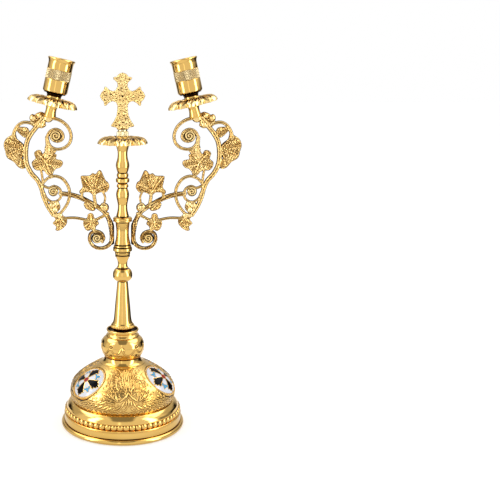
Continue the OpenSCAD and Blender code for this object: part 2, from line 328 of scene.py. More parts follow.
class Relief:
    """A casting that is flat in (x, z): each shape adds to an outline and to a half thickness."""

    def __init__(self, low, high, step):
        self.step = step
        self.xs = np.arange(low[0], high[0] + step, step)
        self.zs = np.arange(low[1], high[1] + step, step)
        self.X, self.Z = np.meshgrid(self.xs, self.zs, indexing="ij")
        self.inside = np.full(self.X.shape, -1e3)
        self.half = np.zeros(self.X.shape)
        self.lift = np.zeros(self.X.shape)
        # painted shade: dark holds how much each point is darkened, for shade along edges, in creases and beside
        # other parts
        self.dark = np.zeros(self.X.shape)

    def window(self, points, margin):
        low, high = points.min(axis=0) - margin, points.max(axis=0) + margin
        i0, i1 = np.searchsorted(self.xs, [low[0], high[0]])
        j0, j1 = np.searchsorted(self.zs, [low[1], high[1]])
        return slice(max(i0 - 1, 0), i1 + 1), slice(max(j0 - 1, 0), j1 + 1)

    def put(self, win, inside, half, lift=0.0, dark=0.0):
        self.inside[win] = np.maximum(self.inside[win], inside)
        higher = half > self.half[win]
        for field, value in ((self.dark, dark), (self.lift, lift), (self.half, half)):
            field[win] = np.where(higher, value, field[win])

    def strand(self, points, width, thick, kind="groove", steps=6, shade=0.0):
        """A vine strand; width is one number, or one at each end and the middle."""
        line = smooth(points, steps)
        w = np.atleast_1d(width) / 2
        win = self.window(line, w.max() + 1)
        d, part, side = distance_to(line, self.X[win], self.Z[win])
        run = np.interp(part * (len(line) - 1), np.arange(len(line)), run_of(line))
        half_w = np.interp(run / run_of(line)[-1], np.linspace(0, 1, len(w)), w)
        q = np.clip(d / half_w, 0, 1)
        round_off = np.sin(np.clip((1 - q) / 0.34, 0, 1) * np.pi / 2)
        core = np.exp(-((q / 0.2) ** 2))
        if kind == "groove":
            cut = 0.97 - 0.26 * core + 0.07 * np.sin(run * 1.3 + side * 2)
        elif kind == "bark":
            fibre = np.sin(side * q * 8 + run * 0.12) * 0.5 + np.sin(side * q * 14 - run * 0.3 + 1) * 0.5
            cut = 0.78 + 0.26 * fibre + 0.1 * np.sin(run * 0.9 + side * q * 2) ** 8
        else:
            cut = 1.0
        # painted shade: the strand's flanks, and the middle of groove and bark strands, are coloured darker; shade
        # adds more darkness all over
        flanks = np.clip((q - 0.68) / 0.2, 0, 1) + {"groove": 0.7, "bark": 0.3, "round": 0.0}[kind] * core
        self.put(win, half_w - d, thick * round_off * cut, dark=flanks + shade)

    def blob(self, centre, radius, thick):
        c = np.asarray(centre, float)
        win = self.window(c[None], radius + 1)
        d = np.hypot(self.X[win] - c[0], self.Z[win] - c[1])
        self.put(win, radius - d, thick * np.sqrt(1 - np.clip(d / radius, 0, 1) ** 2))

    def polygon(self, outline):
        """Signed distance inside a closed outline: win, distance."""
        line = np.concatenate([outline, outline[:1]])
        win = self.window(line, 1)
        X, Z = self.X[win], self.Z[win]
        odd = np.zeros(X.shape, bool)
        for a, b in zip(line, line[1:]):
            if abs(b[1] - a[1]) > 1e-12:
                crosses = (a[1] > Z) != (b[1] > Z)
                odd ^= crosses & (X < a[0] + (Z - a[1]) * (b[0] - a[0]) / (b[1] - a[1]))
        best = distance_to(line, X, Z)[0]
        return win, np.where(odd, best, -best)

    def leaf(self, points, root, tips, thick, lift=0.0):
        """A lobed leaf: rounded rim, raised veins from root to the tips, and cupped flesh between them."""
        win, inside = self.polygon(smooth(filled(points), 5, closed=True))
        X, Z = self.X[win], self.Z[win]
        near = np.full(X.shape, 1e3)
        ribs = np.zeros(X.shape)
        for tip in tips:
            ab = np.subtract(tip, root)
            length = np.linalg.norm(ab)
            u = ((X - root[0]) * ab[0] + (Z - root[1]) * ab[1]) / length
            v = (-(X - root[0]) * ab[1] + (Z - root[1]) * ab[0]) / length
            d = np.hypot(u - np.clip(u / length, 0, 1) * length, v)
            ribs = np.where(d < near, np.sin((u - np.abs(v) * 0.9) * 3.2), ribs)
            near = np.minimum(d, near)
        vein = np.exp(-((near / 0.45) ** 2))
        beside = np.exp(-(((near - 1.1) / 0.5) ** 2))
        away = np.clip(near / 1.6, 0, 1)
        flesh = 0.6 + 0.12 * np.exp(-((near / 2.6) ** 2)) + 0.14 * ribs * away - 0.16 * beside
        flesh += 0.1 * (pebbles(X, Z, 1.4, 31) - 0.5)
        # painted shade: darker beside the veins and in the troughs between the ribs
        dark = 0.3 * beside + 0.5 * np.clip(-ribs - 0.1, 0, 1) * away
        self.put(win, inside, thick * rim_of(inside, 1.2) * np.maximum(flesh, 0.94 * vein), lift, dark)

    def mesh(self, build, grain, cell=0.75):
        """Adds the casting's front and back, joined along the outline, to build."""
        noise = value_noise(self.X, self.Z, cell, 3) + 0.6 * value_noise(self.X, self.Z, cell * 0.5, 4)
        full = np.clip(self.inside / 0.8, 0, 1)
        half = np.where(self.inside > 0, np.maximum(self.half + grain * noise * full, 0.15 * np.sqrt(full)), 0)
        weight = np.maximum(blurred((self.inside > 0).astype(float), 10), 1e-3)
        # painted shade: deep is how far the skin lies below its blurred surroundings, so creases and hollows are
        # coloured darker
        deep = (blurred(half, 10) / weight - half) / 0.62
        lift = blurred(self.lift, 10)
        F = np.where(np.abs(self.inside) < 1e-4, 1e-4, self.inside)
        solid = F > 0
        index = np.full(F.shape, -1)
        index[solid] = np.arange(solid.sum())
        count = int(solid.sum())
        X, Z = self.X[solid], self.Z[solid]
        # painted shade: sunk joins the creases' shade with the shapes' own dark values, as the hollow attribute
        sunk = np.clip(np.maximum(deep, blurred(self.dark, 1))[solid], -1, 1)
        front = np.stack([X, lift[solid] - half[solid], Z], axis=1)
        back = np.stack([X, lift[solid] + half[solid], Z], axis=1)
        rim, rim_at = [], {}

        def crossing(a, b):
            key = (a, b) if a < b else (b, a)
            if key not in rim_at:
                (i, j), (k, m) = key
                t = F[i, j] / (F[i, j] - F[k, m])
                rim_at[key] = 2 * count + len(rim)
                rim.append((self.X[i, j] * (1 - t) + self.X[k, m] * t, lift[i, j] * (1 - t) + lift[k, m] * t,
                        self.Z[i, j] * (1 - t) + self.Z[k, m] * t))
            return rim_at[key]

        s = solid
        all_in = s[:-1, :-1] & s[1:, :-1] & s[1:, 1:] & s[:-1, 1:]
        i, j = np.nonzero(all_in)
        quads = np.stack([index[i, j], index[i + 1, j], index[i + 1, j + 1], index[i, j + 1]], axis=1)
        faces = [tuple(q) for q in quads.tolist()]
        faces += [tuple(q) for q in (quads[:, ::-1] + count).tolist()]
        some = (s[:-1, :-1] | s[1:, :-1] | s[1:, 1:] | s[:-1, 1:]) & ~all_in
        for i, j in zip(*np.nonzero(some)):
            ring = [(i, j), (i + 1, j), (i + 1, j + 1), (i, j + 1)]
            poly = []
            for a, b in zip(ring, ring[1:] + ring[:1]):
                if s[a]:
                    poly.append(int(index[a]))
                if s[a] != s[b]:
                    poly.append(crossing(a, b))
            faces.append(tuple(poly))
            faces.append(tuple((v + count if v < count else v) for v in reversed(poly)))
        # painted shade: the points on the outline are coloured half dark
        build.add(np.concatenate([front, back, np.array(rim)]), faces,
                  np.concatenate([sunk, sunk, np.full(len(rim), 0.6)]))


# --- materials

class Nodes:
    """A material, with short ways to add nodes to it and to join them. Inputs are values or other outputs."""

    def __init__(self, name):
        self.material = bpy.data.materials.new(name)
        self.material.use_nodes = True
        self.tree = self.material.node_tree

    def fill(self, node, inputs):
        for key, value in inputs.items():
            if isinstance(value, bpy.types.NodeSocket):
                self.tree.links.new(value, node.inputs[key])
            else:
                node.inputs[key].default_value = value

    def shader(self, **inputs):
        """Sets the shader's inputs, named with _ for a space."""
        self.fill(self.tree.nodes["Principled BSDF"], {key.replace("_", " "): v for key, v in inputs.items()})

    def add(self, kind, output, inputs={}, **settings):
        node = self.tree.nodes.new("ShaderNode" + kind)
        for key, value in settings.items():
            setattr(node, key, value)
        self.fill(node, inputs)
        return node.outputs[output]

    def noise(self, scale, detail=4.0, roughness=0.55):
        return self.add("TexNoise", "Fac", {"Scale": scale, "Detail": detail, "Roughness": roughness,
                                            "Vector": self.add("TexCoord", "Object")})

    def ramp(self, factor, stops):
        node = self.add("ValToRGB", "Color", {"Fac": factor}).node
        ramp = node.color_ramp
        while len(ramp.elements) < len(stops):
            ramp.elements.new(0.5)
        for element, (at, colour) in zip(ramp.elements, stops):
            element.position = at
            element.color = (*colour, 1)
        return node.outputs["Color"]

    def range(self, value, low, high):
        return self.add("MapRange", "Result", {"To Min": low, "To Max": high, "Value": value})

    def bump(self, height, strength, distance):
        return self.add("Bump", "Normal", {"Strength": strength, "Distance": distance, "Height": height})


def gold(name, deep, bright, rough, grain=0.0):
    """Gilt brass: colour varies from deep to bright, and is darkened to black by the hollow attribute, as painted
    shade in the hollows.
    """
    n = Nodes(name)
    # painted shade: the hollow attribute picks a shade from near white down to black, which multiplies the gold's
    # colour
    hollow = n.range(n.add("Attribute", "Fac", attribute_name="hollow"), 0.5, 1.0)
    shade = n.ramp(hollow, [(0.40, (1, 1, 1)), (0.5, (0.93, 0.91, 0.88)), (0.62, (0.52, 0.42, 0.3)), (0.82,
        (0.02, 0.012, 0.006))])
    colour = n.ramp(n.noise(38), [(0.3, deep), (0.7, bright)])
    n.shader(Metallic=1.0, Roughness=n.range(n.noise(260, 5), *rough),
             Base_Color=n.add("Mix", 2, {"Factor": 1.0, 6: colour, 7: shade}, data_type="RGBA",
                              blend_type="MULTIPLY"),
             Normal=n.bump(n.noise(1500, 3, 0.6), 0.06 + grain, 0.0002))
    return n.material


def enamel(name, deep, bright, gloss):
    """Glassy fired enamel with a slightly cloudy colour."""
    n = Nodes(name)
    n.shader(Base_Color=n.ramp(n.noise(420, 3), [(0.35, deep), (0.65, bright)]), Specular_IOR_Level=gloss,
             Roughness=n.range(n.noise(900, 2), 0.06, 0.14), Normal=n.bump(n.noise(300, 3), 0.05, 0.0002))
    return n.material, "enamel"


def plain(name, deep, bright, rough, metallic=0.0, scale=300, bump=0.2):
    n = Nodes(name)
    n.shader(Base_Color=n.ramp(n.noise(scale), [(0.3, deep), (0.7, bright)]), Metallic=metallic,
             Roughness=n.range(n.noise(scale * 2), *rough), Normal=n.bump(n.noise(scale * 6, 4), bump, 0.0003))
    return n.material


POLISHED = gold("gilt_polished", (0.78, 0.49, 0.13), (0.83, 0.54, 0.17), (0.05, 0.11)), "polished_gold"
CAST = gold("gilt_cast", (0.93, 0.66, 0.25), (0.98, 0.76, 0.37), (0.12, 0.22), grain=0.2), "cast_gold"
CHASED = gold("gilt_chased", (0.76, 0.48, 0.13), (0.83, 0.56, 0.20), (0.10, 0.18), grain=0.1), "chased_gold"
KNURLED = gold("gilt_knurled", (0.72, 0.60, 0.34), (0.84, 0.74, 0.48), (0.2, 0.3)), "chased_gold"
ENGRAVED = POLISHED[0], "chased_gold"
WHITE = enamel("enamel_white", (0.60, 0.62, 0.68), (0.67, 0.69, 0.75), 0.4)
BLACK = enamel("enamel_black", (0.001, 0.001, 0.002), (0.003, 0.003, 0.006), 0.06)
BLUE = enamel("enamel_blue", (0.06, 0.28, 0.50), (0.10, 0.36, 0.60), 0.2)
RED = enamel("enamel_red", (0.24, 0.004, 0.01), (0.32, 0.01, 0.02), 0.2)
STEEL = plain("turned_steel", (0.42, 0.43, 0.44), (0.55, 0.56, 0.57), (0.25, 0.4), metallic=1.0, bump=0.08)
IRON = plain("cast_iron", (0.05, 0.05, 0.055), (0.1, 0.1, 0.1), (0.6, 0.8), metallic=0.4, bump=0.5)
FELT = plain("wool_felt", (0.10, 0.015, 0.02), (0.16, 0.03, 0.035), (0.85, 0.95), scale=700, bump=0.9)

for node_name, material in {"tie_rod": STEEL, "tie_nut": STEEL, "bottom_plate": STEEL, "centre_rod": STEEL,
                            "stud_left": STEEL, "stud_right": STEEL, "ballast": IRON, "felt_pad": FELT,
                            "socket_tube": POLISHED[0]}.items():
    data = frame["nodes"][node_name].data
    data.materials.clear()
    data.materials.append(material)


# --- places from the frame

def node_points(name):
    """A CAD node's vertices, in millimetres."""
    return np.array([v.co for v in frame["nodes"][name].data.vertices], float) / MM


def node_span(name, place=None):
    """(largest radius from the axis, lowest height, highest height) of a round node, in millimetres."""
    points = node_points(name) if place is None else moved(node_points(name), place.inverted())
    return np.hypot(points[:, 0], points[:, 1]).max(), points[:, 2].min(), points[:, 2].max()


def turned(name, rows, finish, body, sides=128, carve=None, place=None, hollow=False, from_foot=True, spin=0,
           dark=None):
    """A turned piece that replaces its CAD node, from rows (radius, height).

    Heights count from the node's foot if from_foot. carve(angle, radius, height) pushes the skin out.
    The rows of a hollow piece go up its outside and back down its inside. dark(radius, height) is true in its
    deep corners, where the gold's colour is darkened as painted shade.
    """
    rows = rows_of(rows)
    deep = np.zeros(len(rows))
    if dark is not None:
        deep[dark(rows[:, 0], rows[:, 1])] = 1
    if from_foot:
        rows[:, 1] += node_span(name, place)[1]
    height = np.zeros((len(rows), sides))
    if carve is not None:
        height += carve(turn(sides)[None, :], rows[:, :1], rows[:, 1:])
    # painted shade: the gaps between raised carving and the floors of cut carving get hollow values, so the gold is
    # coloured darker there
    low, high = height.min(axis=1, keepdims=True), height.max(axis=1, keepdims=True)
    gaps = np.clip(1.6 * (high - height) / np.maximum(high, 0.3) - 0.75, 0, 1) * (low >= 0) * (high > 0.3)
    cuts = np.clip(-height / 0.3, 0, 0.6)
    build = Build()
    build.grid(moved(carved(rows, sides, height), Matrix.Rotation(math.radians(spin), 4, "Z")),
               "join" if hollow else "cap", np.maximum(deep[:, None], np.maximum(0.62 * gaps, cuts)))
    build.done(name + "_turned", finish, body, place, replaces=name)


def creased(rows, heights, half=0.7, depth=0.3):
    """Rows with a small groove cut at each height, coloured dark as painted shade, as the options that turned()
    takes.
    """
    for height in heights:
        below, above = rows[rows[:, 1] < height - half], rows[rows[:, 1] > height + half]
        edge = [np.interp(height + d, rows[:, 1], rows[:, 0]) for d in (-half, half)]
        floor = min(edge) - depth
        cut = [[edge[0], height - half], [floor, height - 0.6 * half], [floor, height + 0.6 * half],
               [edge[1], height + half]]
        rows = np.concatenate([below, cut, above])
    return {"rows": rows, "dark": lambda r, h: np.any([np.abs(h - at) < 0.7 * half for at in heights], axis=0)}


def cup_place(side):
    """Where a candle cup's own frame sits: its origin on the leaning axis and +Z along it."""
    joint = {j["name"]: j for j in frame["joints"]}["cup_left_turn" if side < 0 else "cup_right_turn"]
    axis = Vector(joint["axis"]).normalized()
    lean = Vector((0, 0, 1)).rotation_difference(axis).to_matrix().to_4x4()
    return Matrix.Translation(Vector(joint["pos_m"]) / MM) @ lean


# --- vine arms

def vine():
    """The right arm's relief, in millimetres from the middle of the foot."""
    low, high = (np.array(c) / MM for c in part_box("arm_right"))
    v = Relief((low[0] + 0.2, low[2] - 0.5), (high[0] - 0.3, high[2] + 6), 0.32)
    # main stem
    v.strand([78, 319, 85.5, 310, 91, 303, 95, 295, 96.5, 284, 95.5, 273, 91, 264, 85, 257, 81.5, 249, 79.5,
            241, 75.5, 231, 70, 222], (5, 5.2, 4.6), STRAND)
    # upper scroll, winding into its coil
    v.strand([73, 319.5, 63, 317.3, 55, 311.4, 51.2, 303, 52.3, 295, 57.6, 289.8, 65, 288.2, 71, 290.6, 74, 296,
            74.6, 301, 71.4, 306.2, 65.6, 308, 60.4, 305.2, 58.9, 300.4, 61, 297, 65, 295.8], (3.6, 3.3, 3),
            THIN)
    v.blob([66, 301.4], 6.6, 1.5)
    v.strand(spiral([66.2, 301.5], 5.2, 300, 0.8, 980), (2.3, 1.8), 2.3, kind="round", steps=3)
    v.strand([75, 300, 74.3, 290, 75.5, 281], (4, 5, 5), THIN)
    v.leaf([71, 292, 69.5, 288, 66, 286, 69, 283, 73, 282, 77, 285, 77.4, 290, 75, 294], (73, 282), [(72, 292),
            (67, 286)], LEAF * 0.85)
    # inner leaf
    v.leaf([77, 287, 79, 283, 81.5, 287.2, 85.5, 287.2, 88.2, 284, 87, 279, 90.6, 275.4, 89.6, 270, 86, 267,
            82.2, 267.2, 80, 270, 77.5, 265.5, 74, 262.2, 70.4, 262, 68.6, 266, 70.4, 270.6, 66, 268.6, 62, 270,
            59.4, 274, 61, 277.2, 66.6, 278.6, 65.6, 282.6, 69, 284.6, 73, 284], (76.5, 275.5), [(84.6, 284.6),
            (88, 272.6), (72.4, 264.4), (61.6, 273.6), (70, 282.6)], LEAF, lift=-0.8)
    v.strand([82, 270, 80.6, 262, 80, 255], 2.6, THIN)
    v.strand([78.5, 269, 75, 264, 71, 261], 2.4, THIN)
    # outer tendril and folded leaf
    v.strand([88, 313, 93, 314.6, 98.5, 314.6, 103.5, 311.6, 107, 306, 108.6, 300], (3.6, 3.4, 4), THIN)
    v.leaf([105.4, 309.4, 101, 309.6, 96.4, 307.4, 91.4, 303.4, 92.6, 301, 98, 302.4, 104, 305.6], (91, 302),
            [(105.4, 308.4)], LEAF)
    v.leaf([106.4, 304, 112, 301.4, 116.4, 298, 118.3, 292.4, 117, 286.4, 111.4, 281.6, 108.6, 275.4, 104.6,
            270.6, 100, 268.4, 97, 270, 96.6, 276, 97.6, 279.4, 99.8, 279.2, 100, 283.6, 97.4, 284.4, 97.6,
            291.6, 100, 295, 104.4, 298.6], (98, 290), [(108, 302), (116.6, 293), (112, 283.4), (103, 271),
            (98.4, 271.6)], LEAF * 1.05, lift=-0.6)
    # lower scroll, its coil, and the bud lumps that hang from the stem
    v.strand([80, 254, 75, 259, 67.5, 261.3, 60, 258.5, 54.8, 251.4, 53.2, 244, 54.6, 235.8, 58, 229.5, 62.5,
            223.8], (3.2, 3.4, 3.2), THIN)
    v.strand([79.6, 251.6, 74, 249.4, 68.6, 251.2, 63.4, 248.6, 61.6, 242.8, 64, 237.6, 70, 235.2, 76, 238.6,
            79, 245], (3, 2.8, 2.6), THIN)
    v.blob([69.6, 245.8], 5, 1.5)
    v.strand(spiral([69.6, 245.8], 4.2, 120, 0.7, -460), (2, 1.7), 2.2, kind="round", steps=3)
    v.leaf([74.4, 233.4, 70.6, 236.4, 66.6, 236.6, 63, 232.6, 63.4, 228.6, 65, 225.4, 68, 222.6, 71.4, 223.8,
            73, 228], (71, 224), [(72, 234), (65, 233.4)], LEAF)
    for at, size in (((66.4, 233.6), 2.8), ((71.2, 231.6), 3), ((68, 227), 3), ((63.6, 221.4), 3.2),
                     ((67.4, 221.6), 2.8)):
        v.blob(at, size, 2.5)
    v.leaf([60, 221.4, 56.4, 218.4, 56, 214, 58, 210.4, 61, 207.6, 65, 205.6, 68, 206.4, 67.4, 210, 69, 213.6,
            68, 217.4, 70, 221, 66, 223.4], (63.4, 220), [(66.6, 207), (58, 213), (67, 214.6)], LEAF)
    # bud under the drip pan
    v.leaf([76, 323, 80, 325.2, 84, 323, 86.4, 321.6, 89.6, 323, 92, 319.6, 90.6, 314, 89.4, 311, 84, 309.6,
            79.6, 309, 75.8, 311.4, 76, 315, 72, 318], (78, 319), [(90, 321), (82, 324), (77.6, 311.6), (87.6,
            312.4)], LEAF * 1.05)
    for at, size in (((88.6, 319.4), 2.8), ((80.6, 312.6), 3), ((82, 321.4), 2.8)):
        v.blob(at, size, 2.9)
    v.blob([73.4, 320], 5.4, 3.2)
    # lower branch, its knot, and the run beside the sleeve into the bottom scroll
    v.strand([62, 243.6, 55, 243, 48, 241.5, 40, 238.5, 31, 233.5, 24, 229.5, 18, 224.5, 13.8, 217, 11.8, 208,
            11, 199, 12.4, 192.8, 17.5, 188.6, 24, 187.6, 30, 190.2, 33.4, 196, 32.6, 202.4, 27.4, 205.4, 21.4,
            203.4, 18.9, 198.4, 20.6, 194], (5, 5.4, 4.6, 4, 3), STRAND, kind="bark")
    # painted shadow: a strand coloured dark fills the gap beside the sleeve's waist
    v.strand([14.5, 220, 10.8, 214, 8.9, 206, 8.5, 199, 9.4, 192], 2.8, 1.5, kind="round", shade=0.8)
    v.blob([18.5, 229.6], 4.9, 3)
    v.strand(spiral([18.8, 229.8], 4, 60, 0.6, 560), (1.8, 1.4), 3.1, kind="round", steps=3)
    v.blob([26, 198.2], 5.6, 1.5)
    v.strand(spiral([26, 198.2], 4.6, 200, 0.7, 840), (2.1, 1.7), 2.3, kind="round", steps=3)
    v.leaf([33, 235.6, 31, 230, 27.6, 227, 31, 226.4, 35, 229.4, 39, 234], (38, 236), [(30, 228)], LEAF)
    # big leaf over the branch
    v.leaf([28.6, 241, 25.6, 243.4, 21, 245, 16.4, 245, 13.2, 250, 14.4, 255, 18, 256.6, 19, 261.4, 21.6, 267,
            24.4, 266.8, 27, 263.6, 29.5, 260.4, 33.5, 262, 41.5, 261.5, 41.4, 256, 39.4, 250.4, 43.4, 246.4,
            42.4, 243.4, 37.4, 244.8, 33, 244.6], (29, 245), [(40, 260.4), (23, 266), (15, 251), (42, 245)],
            LEAF * 1.05, lift=-1)
    v.strand([29, 246, 28.2, 238, 27, 232], 3.6, THIN)
    v.strand([40.6, 246, 41, 240], 3, THIN)
    v.strand([20, 246, 17.6, 240, 18.4, 234], 2.4, THIN)
    # second strand and its three-lobed leaf
    v.strand([15, 223.5, 20, 220.5, 27, 217, 33, 216, 41, 217.8, 49, 219, 60, 218.6], (3.2, 3.2, 3), THIN)
    v.leaf([28.4, 219, 29.4, 222.4, 32, 224, 35, 222.6, 36.2, 219, 39.6, 215.6, 39.8, 211.6, 37.6, 206.8, 34.6,
            205.4, 31.8, 207, 30, 205, 27.6, 206.4, 26.6, 210, 24, 212.6, 25, 215.8], (31.6, 215), [(32, 222.4),
            (38, 210), (34.4, 206.8), (25.6, 213.4)], LEAF, lift=-0.5)
    v.strand([29.4, 210, 28, 205], 2.8, THIN)
    # the casting keeps off the sleeve's waist, and touches its two rings
    ring, z0, z1 = node_span("hub_sleeve")
    waist = (v.Z > z0 + 13) & (v.Z < z1 - 6)
    v.inside = np.minimum(v.inside, v.X - np.where(waist, ring - 2.6, ring - 0.1))
    return v


def arms():
    v = vine()
    for side, name in ((-1, "arm_left"), (1, "arm_right")):
        build = Build()
        v.mesh(build, grain=0.2, cell=0.95)
        if side < 0:
            build.verts = [p * [-1, -1, 1] for p in build.verts]
        build.done(name + "_vine", CAST, "handle", smooth_angle=55, replaces=name)


# --- foot

def bead_of(centre, radius, low, high):
    """Rows of a round bead's outer side, from angle low to angle high in degrees."""
    a = np.radians(np.linspace(low, high, 14))
    return [[centre[0] + radius * math.cos(t), centre[1] + radius * math.sin(t)] for t in a]


def foot():
    side = [61.6, 5.3, 60.7, 5.35, 60.7, 5.8, 61.2, 6.1, 61.1, 8, 60.9, 10, 60.6, 12.2, 61.1, 12.5, 61.3, 13.1,
        61.1, 13.8, 60.2, 14.2, 58.3, 14.5, 57.9, 17, 57.9, 19.4, 58.7, 19.7, 58.6, 20.4, 57.9, 22.6, 57, 24,
        55.7, 25.5, 54.3, 26.8, 52.9, 27.6, 46, 27.8]
    inside = [46, 26.7, 52.4, 26.4, 55, 24, 56.7, 20, 56.9, 14.4, 59.2, 12, 59.7, 5, 57.6, 2.2]
    rows = rounded(rows_of([57.6, 0.1, 59.6, 0], bead_of((61.6, 2.7), 2.67, -88, 84), side, inside))
    # painted shade: a thin dark line in the crease above the bead
    turned("foot", rows, POLISHED, "base", sides=256, hollow=True, from_foot=False,
           dark=lambda r, h: (r > 60.2) & (r < 61) & (h > 5.2) & (h < 5.9))


def gadroons():
    """A row of wide egg-shaped lobes with narrow gaps."""
    pitch = 2 * math.pi / GADROONS

    def carve(angle, r, z):
        across = np.abs(np.mod(angle, pitch) / pitch - 0.5) * pitch * r
        lobe = 1.75 * np.sqrt(np.clip(1 - (across / 3.05) ** 2.6 - np.abs((z - 17) / 2.45) ** 2.6, 0, 1))
        return np.where(r > 58, lobe, 0)

    rows = [[58.1, 14.4], [58.7, 14.5]] + [[59.0, z] for z in np.arange(14.6, 19.5, 0.2)]\
        + [[58.7, 19.6], [58.1, 19.7]]
    rows += [[57.9, 17]]
    turned("gadroon_ring", rows, POLISHED, "base", sides=GADROONS * 16, carve=carve, hollow=True, from_foot=False,
           spin=FOOT_TURN)


# --- medallions

def medallion_place(name):
    """Where a medallion's own frame sits: +Z along its axis, X down the dome, its origin in the bezel's seat."""
    points = node_points("bezel_" + name)
    middle = points.mean(axis=0)
    turn = (Matrix.Rotation(math.atan2(middle[1], middle[0]), 4, "Z")
            @ Matrix.Rotation(math.radians(90 - MEDALLION_TILT), 4, "Y"))
    place = Matrix.Translation(Vector(middle)) @ turn
    top = moved(points, place.inverted())[:, 2].max()
    return place @ Matrix.Translation((0, 0, top - 0.6))


SEATS = {name: medallion_place(name) for name in ("right", "back", "left")}
BEZEL_R = node_span("bezel_right", SEATS["right"])[0]
GLASS_R = BEZEL_R - 0.8
GLASS_RISE = node_span("medallion_right", SEATS["right"])[2]
GLASS_BALL = (GLASS_R**2 + GLASS_RISE**2) / (2 * GLASS_RISE)


def glass_height(r):
    return np.sqrt(np.maximum(GLASS_BALL**2 - r**2, 0)) - GLASS_BALL + GLASS_RISE


def turned_about(points, degrees):
    a = math.radians(degrees)
    return rows_of(points) @ np.array([[math.cos(a), math.sin(a)], [-math.sin(a), math.cos(a)]])


ARM_OF_CROSS = [2.6, -0.8, 7, -2.7, 11.8, -5.3, 12.4, -3, 14.2, -2.6, 14, -1.2, 16, 0, 14, 1.2, 14.2, 2.6, 12.4,
    3, 11.8, 5.3, 7, 2.7, 2.6, 0.8]
TREFOIL = [8, -3.3, 9.3, -1.3, 9, 0, 9.3, 1.3, 8, 3.3, 9.9, 4.4, 11, 2, 12.3, 1.4, 13.7, 0, 12.3, -1.4, 11, -2,
    9.9, -4.4]


def enamel_plates(outlines):
    """A build of thin coloured plates that follow the glass, one for each outline."""
    plates = Relief((-GLASS_R, -GLASS_R), (GLASS_R, GLASS_R), 0.16)
    for outline in outlines:
        win, inside = plates.polygon(outline)
        plates.put(win, inside, 0.24 * np.sqrt(np.clip(inside / 0.35, 0, 1)))
    build = Build()
    plates.mesh(build, grain=0.01)
    p = build.verts[0]
    build.verts = [np.stack([p[:, 0], p[:, 2], glass_height(np.hypot(p[:, 0], p[:, 2])) - p[:, 1]], axis=1)]
    build.faces = [face[::-1] for face in build.faces]
    return build


def gold_wires(outlines):
    """Cloison wires that lie on the glass along each outline."""
    build = Build()
    for outline in outlines:
        line = evenly(np.concatenate([outline, outline[:1]]), 0.5)
        path = np.column_stack([line, glass_height(np.hypot(*line.T)) + 0.16])
        path[-1] = path[0]
        build.tube(path, WIRE_R, sides=6)
    return build


def medallions():
    quarter = (0, 90, 180, 270)
    arms_of_cross = [MOTIF_SCALE * turned_about(ARM_OF_CROSS, a) for a in quarter]
    trefoils = [MOTIF_SCALE * smooth(turned_about(TREFOIL, a + 45), 4, closed=True) for a in quarter]
    ring = np.column_stack([np.cos(turn(48)), np.sin(turn(48))])
    boss = ring * (2.9 + 0.2 * np.cos(4 * turn(48)))[:, None]
    layers = (("cross", enamel_plates(arms_of_cross), BLACK), ("trefoils", enamel_plates(trefoils), BLUE),
              ("boss", enamel_plates([boss]), RED),
              ("wires", gold_wires(arms_of_cross + trefoils + [boss, ring * 17.7]), POLISHED))
    for name, place in SEATS.items():
        rows = [[GLASS_R - 1.4, -1.5], [GLASS_R - 0.1, -1.5]]
        rows += [[r, glass_height(r)] for r in np.linspace(GLASS_R - 0.05, 0.4, 36)]
        turned("medallion_" + name, rows, WHITE, "base", sides=96, place=place, from_foot=False)
        for part, build, finish in layers:
            build.done(f"enamel_{part}_{name}", finish, "base", place)
        bezel(name, place)


def bezel(name, place):
    """A gold collar with a plain lip that holds the glass, and a row of beads outside it."""
    rows = [[BEZEL_R - 2.4, -8.5], [BEZEL_R - 0.3, -8.5], [BEZEL_R, -8], [BEZEL_R, -0.5], [BEZEL_R - 0.15, 0],
        [BEZEL_R - 0.6, 0.4], [GLASS_R - 0.1, 0.5], [GLASS_R - 0.25, 0.1], [GLASS_R, -1.6], [BEZEL_R - 2.4,
        -1.8]]
    turned("bezel_" + name, rounded(rows), POLISHED, "base", sides=96, place=place, hollow=True, from_foot=False)
    beads = Build()
    bead = carved([[0.6 * math.sin(t), -0.6 * math.cos(t)] for t in np.linspace(0.3, math.pi - 0.3, 6)], 8)
    for a in turn(BEZEL_BEADS):
        beads.grid(bead + (BEZEL_R - 0.35) * np.array([math.cos(a), math.sin(a), 0]) + [0, 0, 0.3])
    beads.done("bezel_beads_" + name, POLISHED, "base", place)


# --- dome

DOME_OUTLINE = smooth([52.4, 27.9, 53.7, 30.5, 54.4, 35, 54.2, 39.5, 53, 44.4, 50.2, 48.8, 46, 52.9, 40.6, 57,
    34, 61.2, 28, 64.8, 23.6, 67.2], 6)

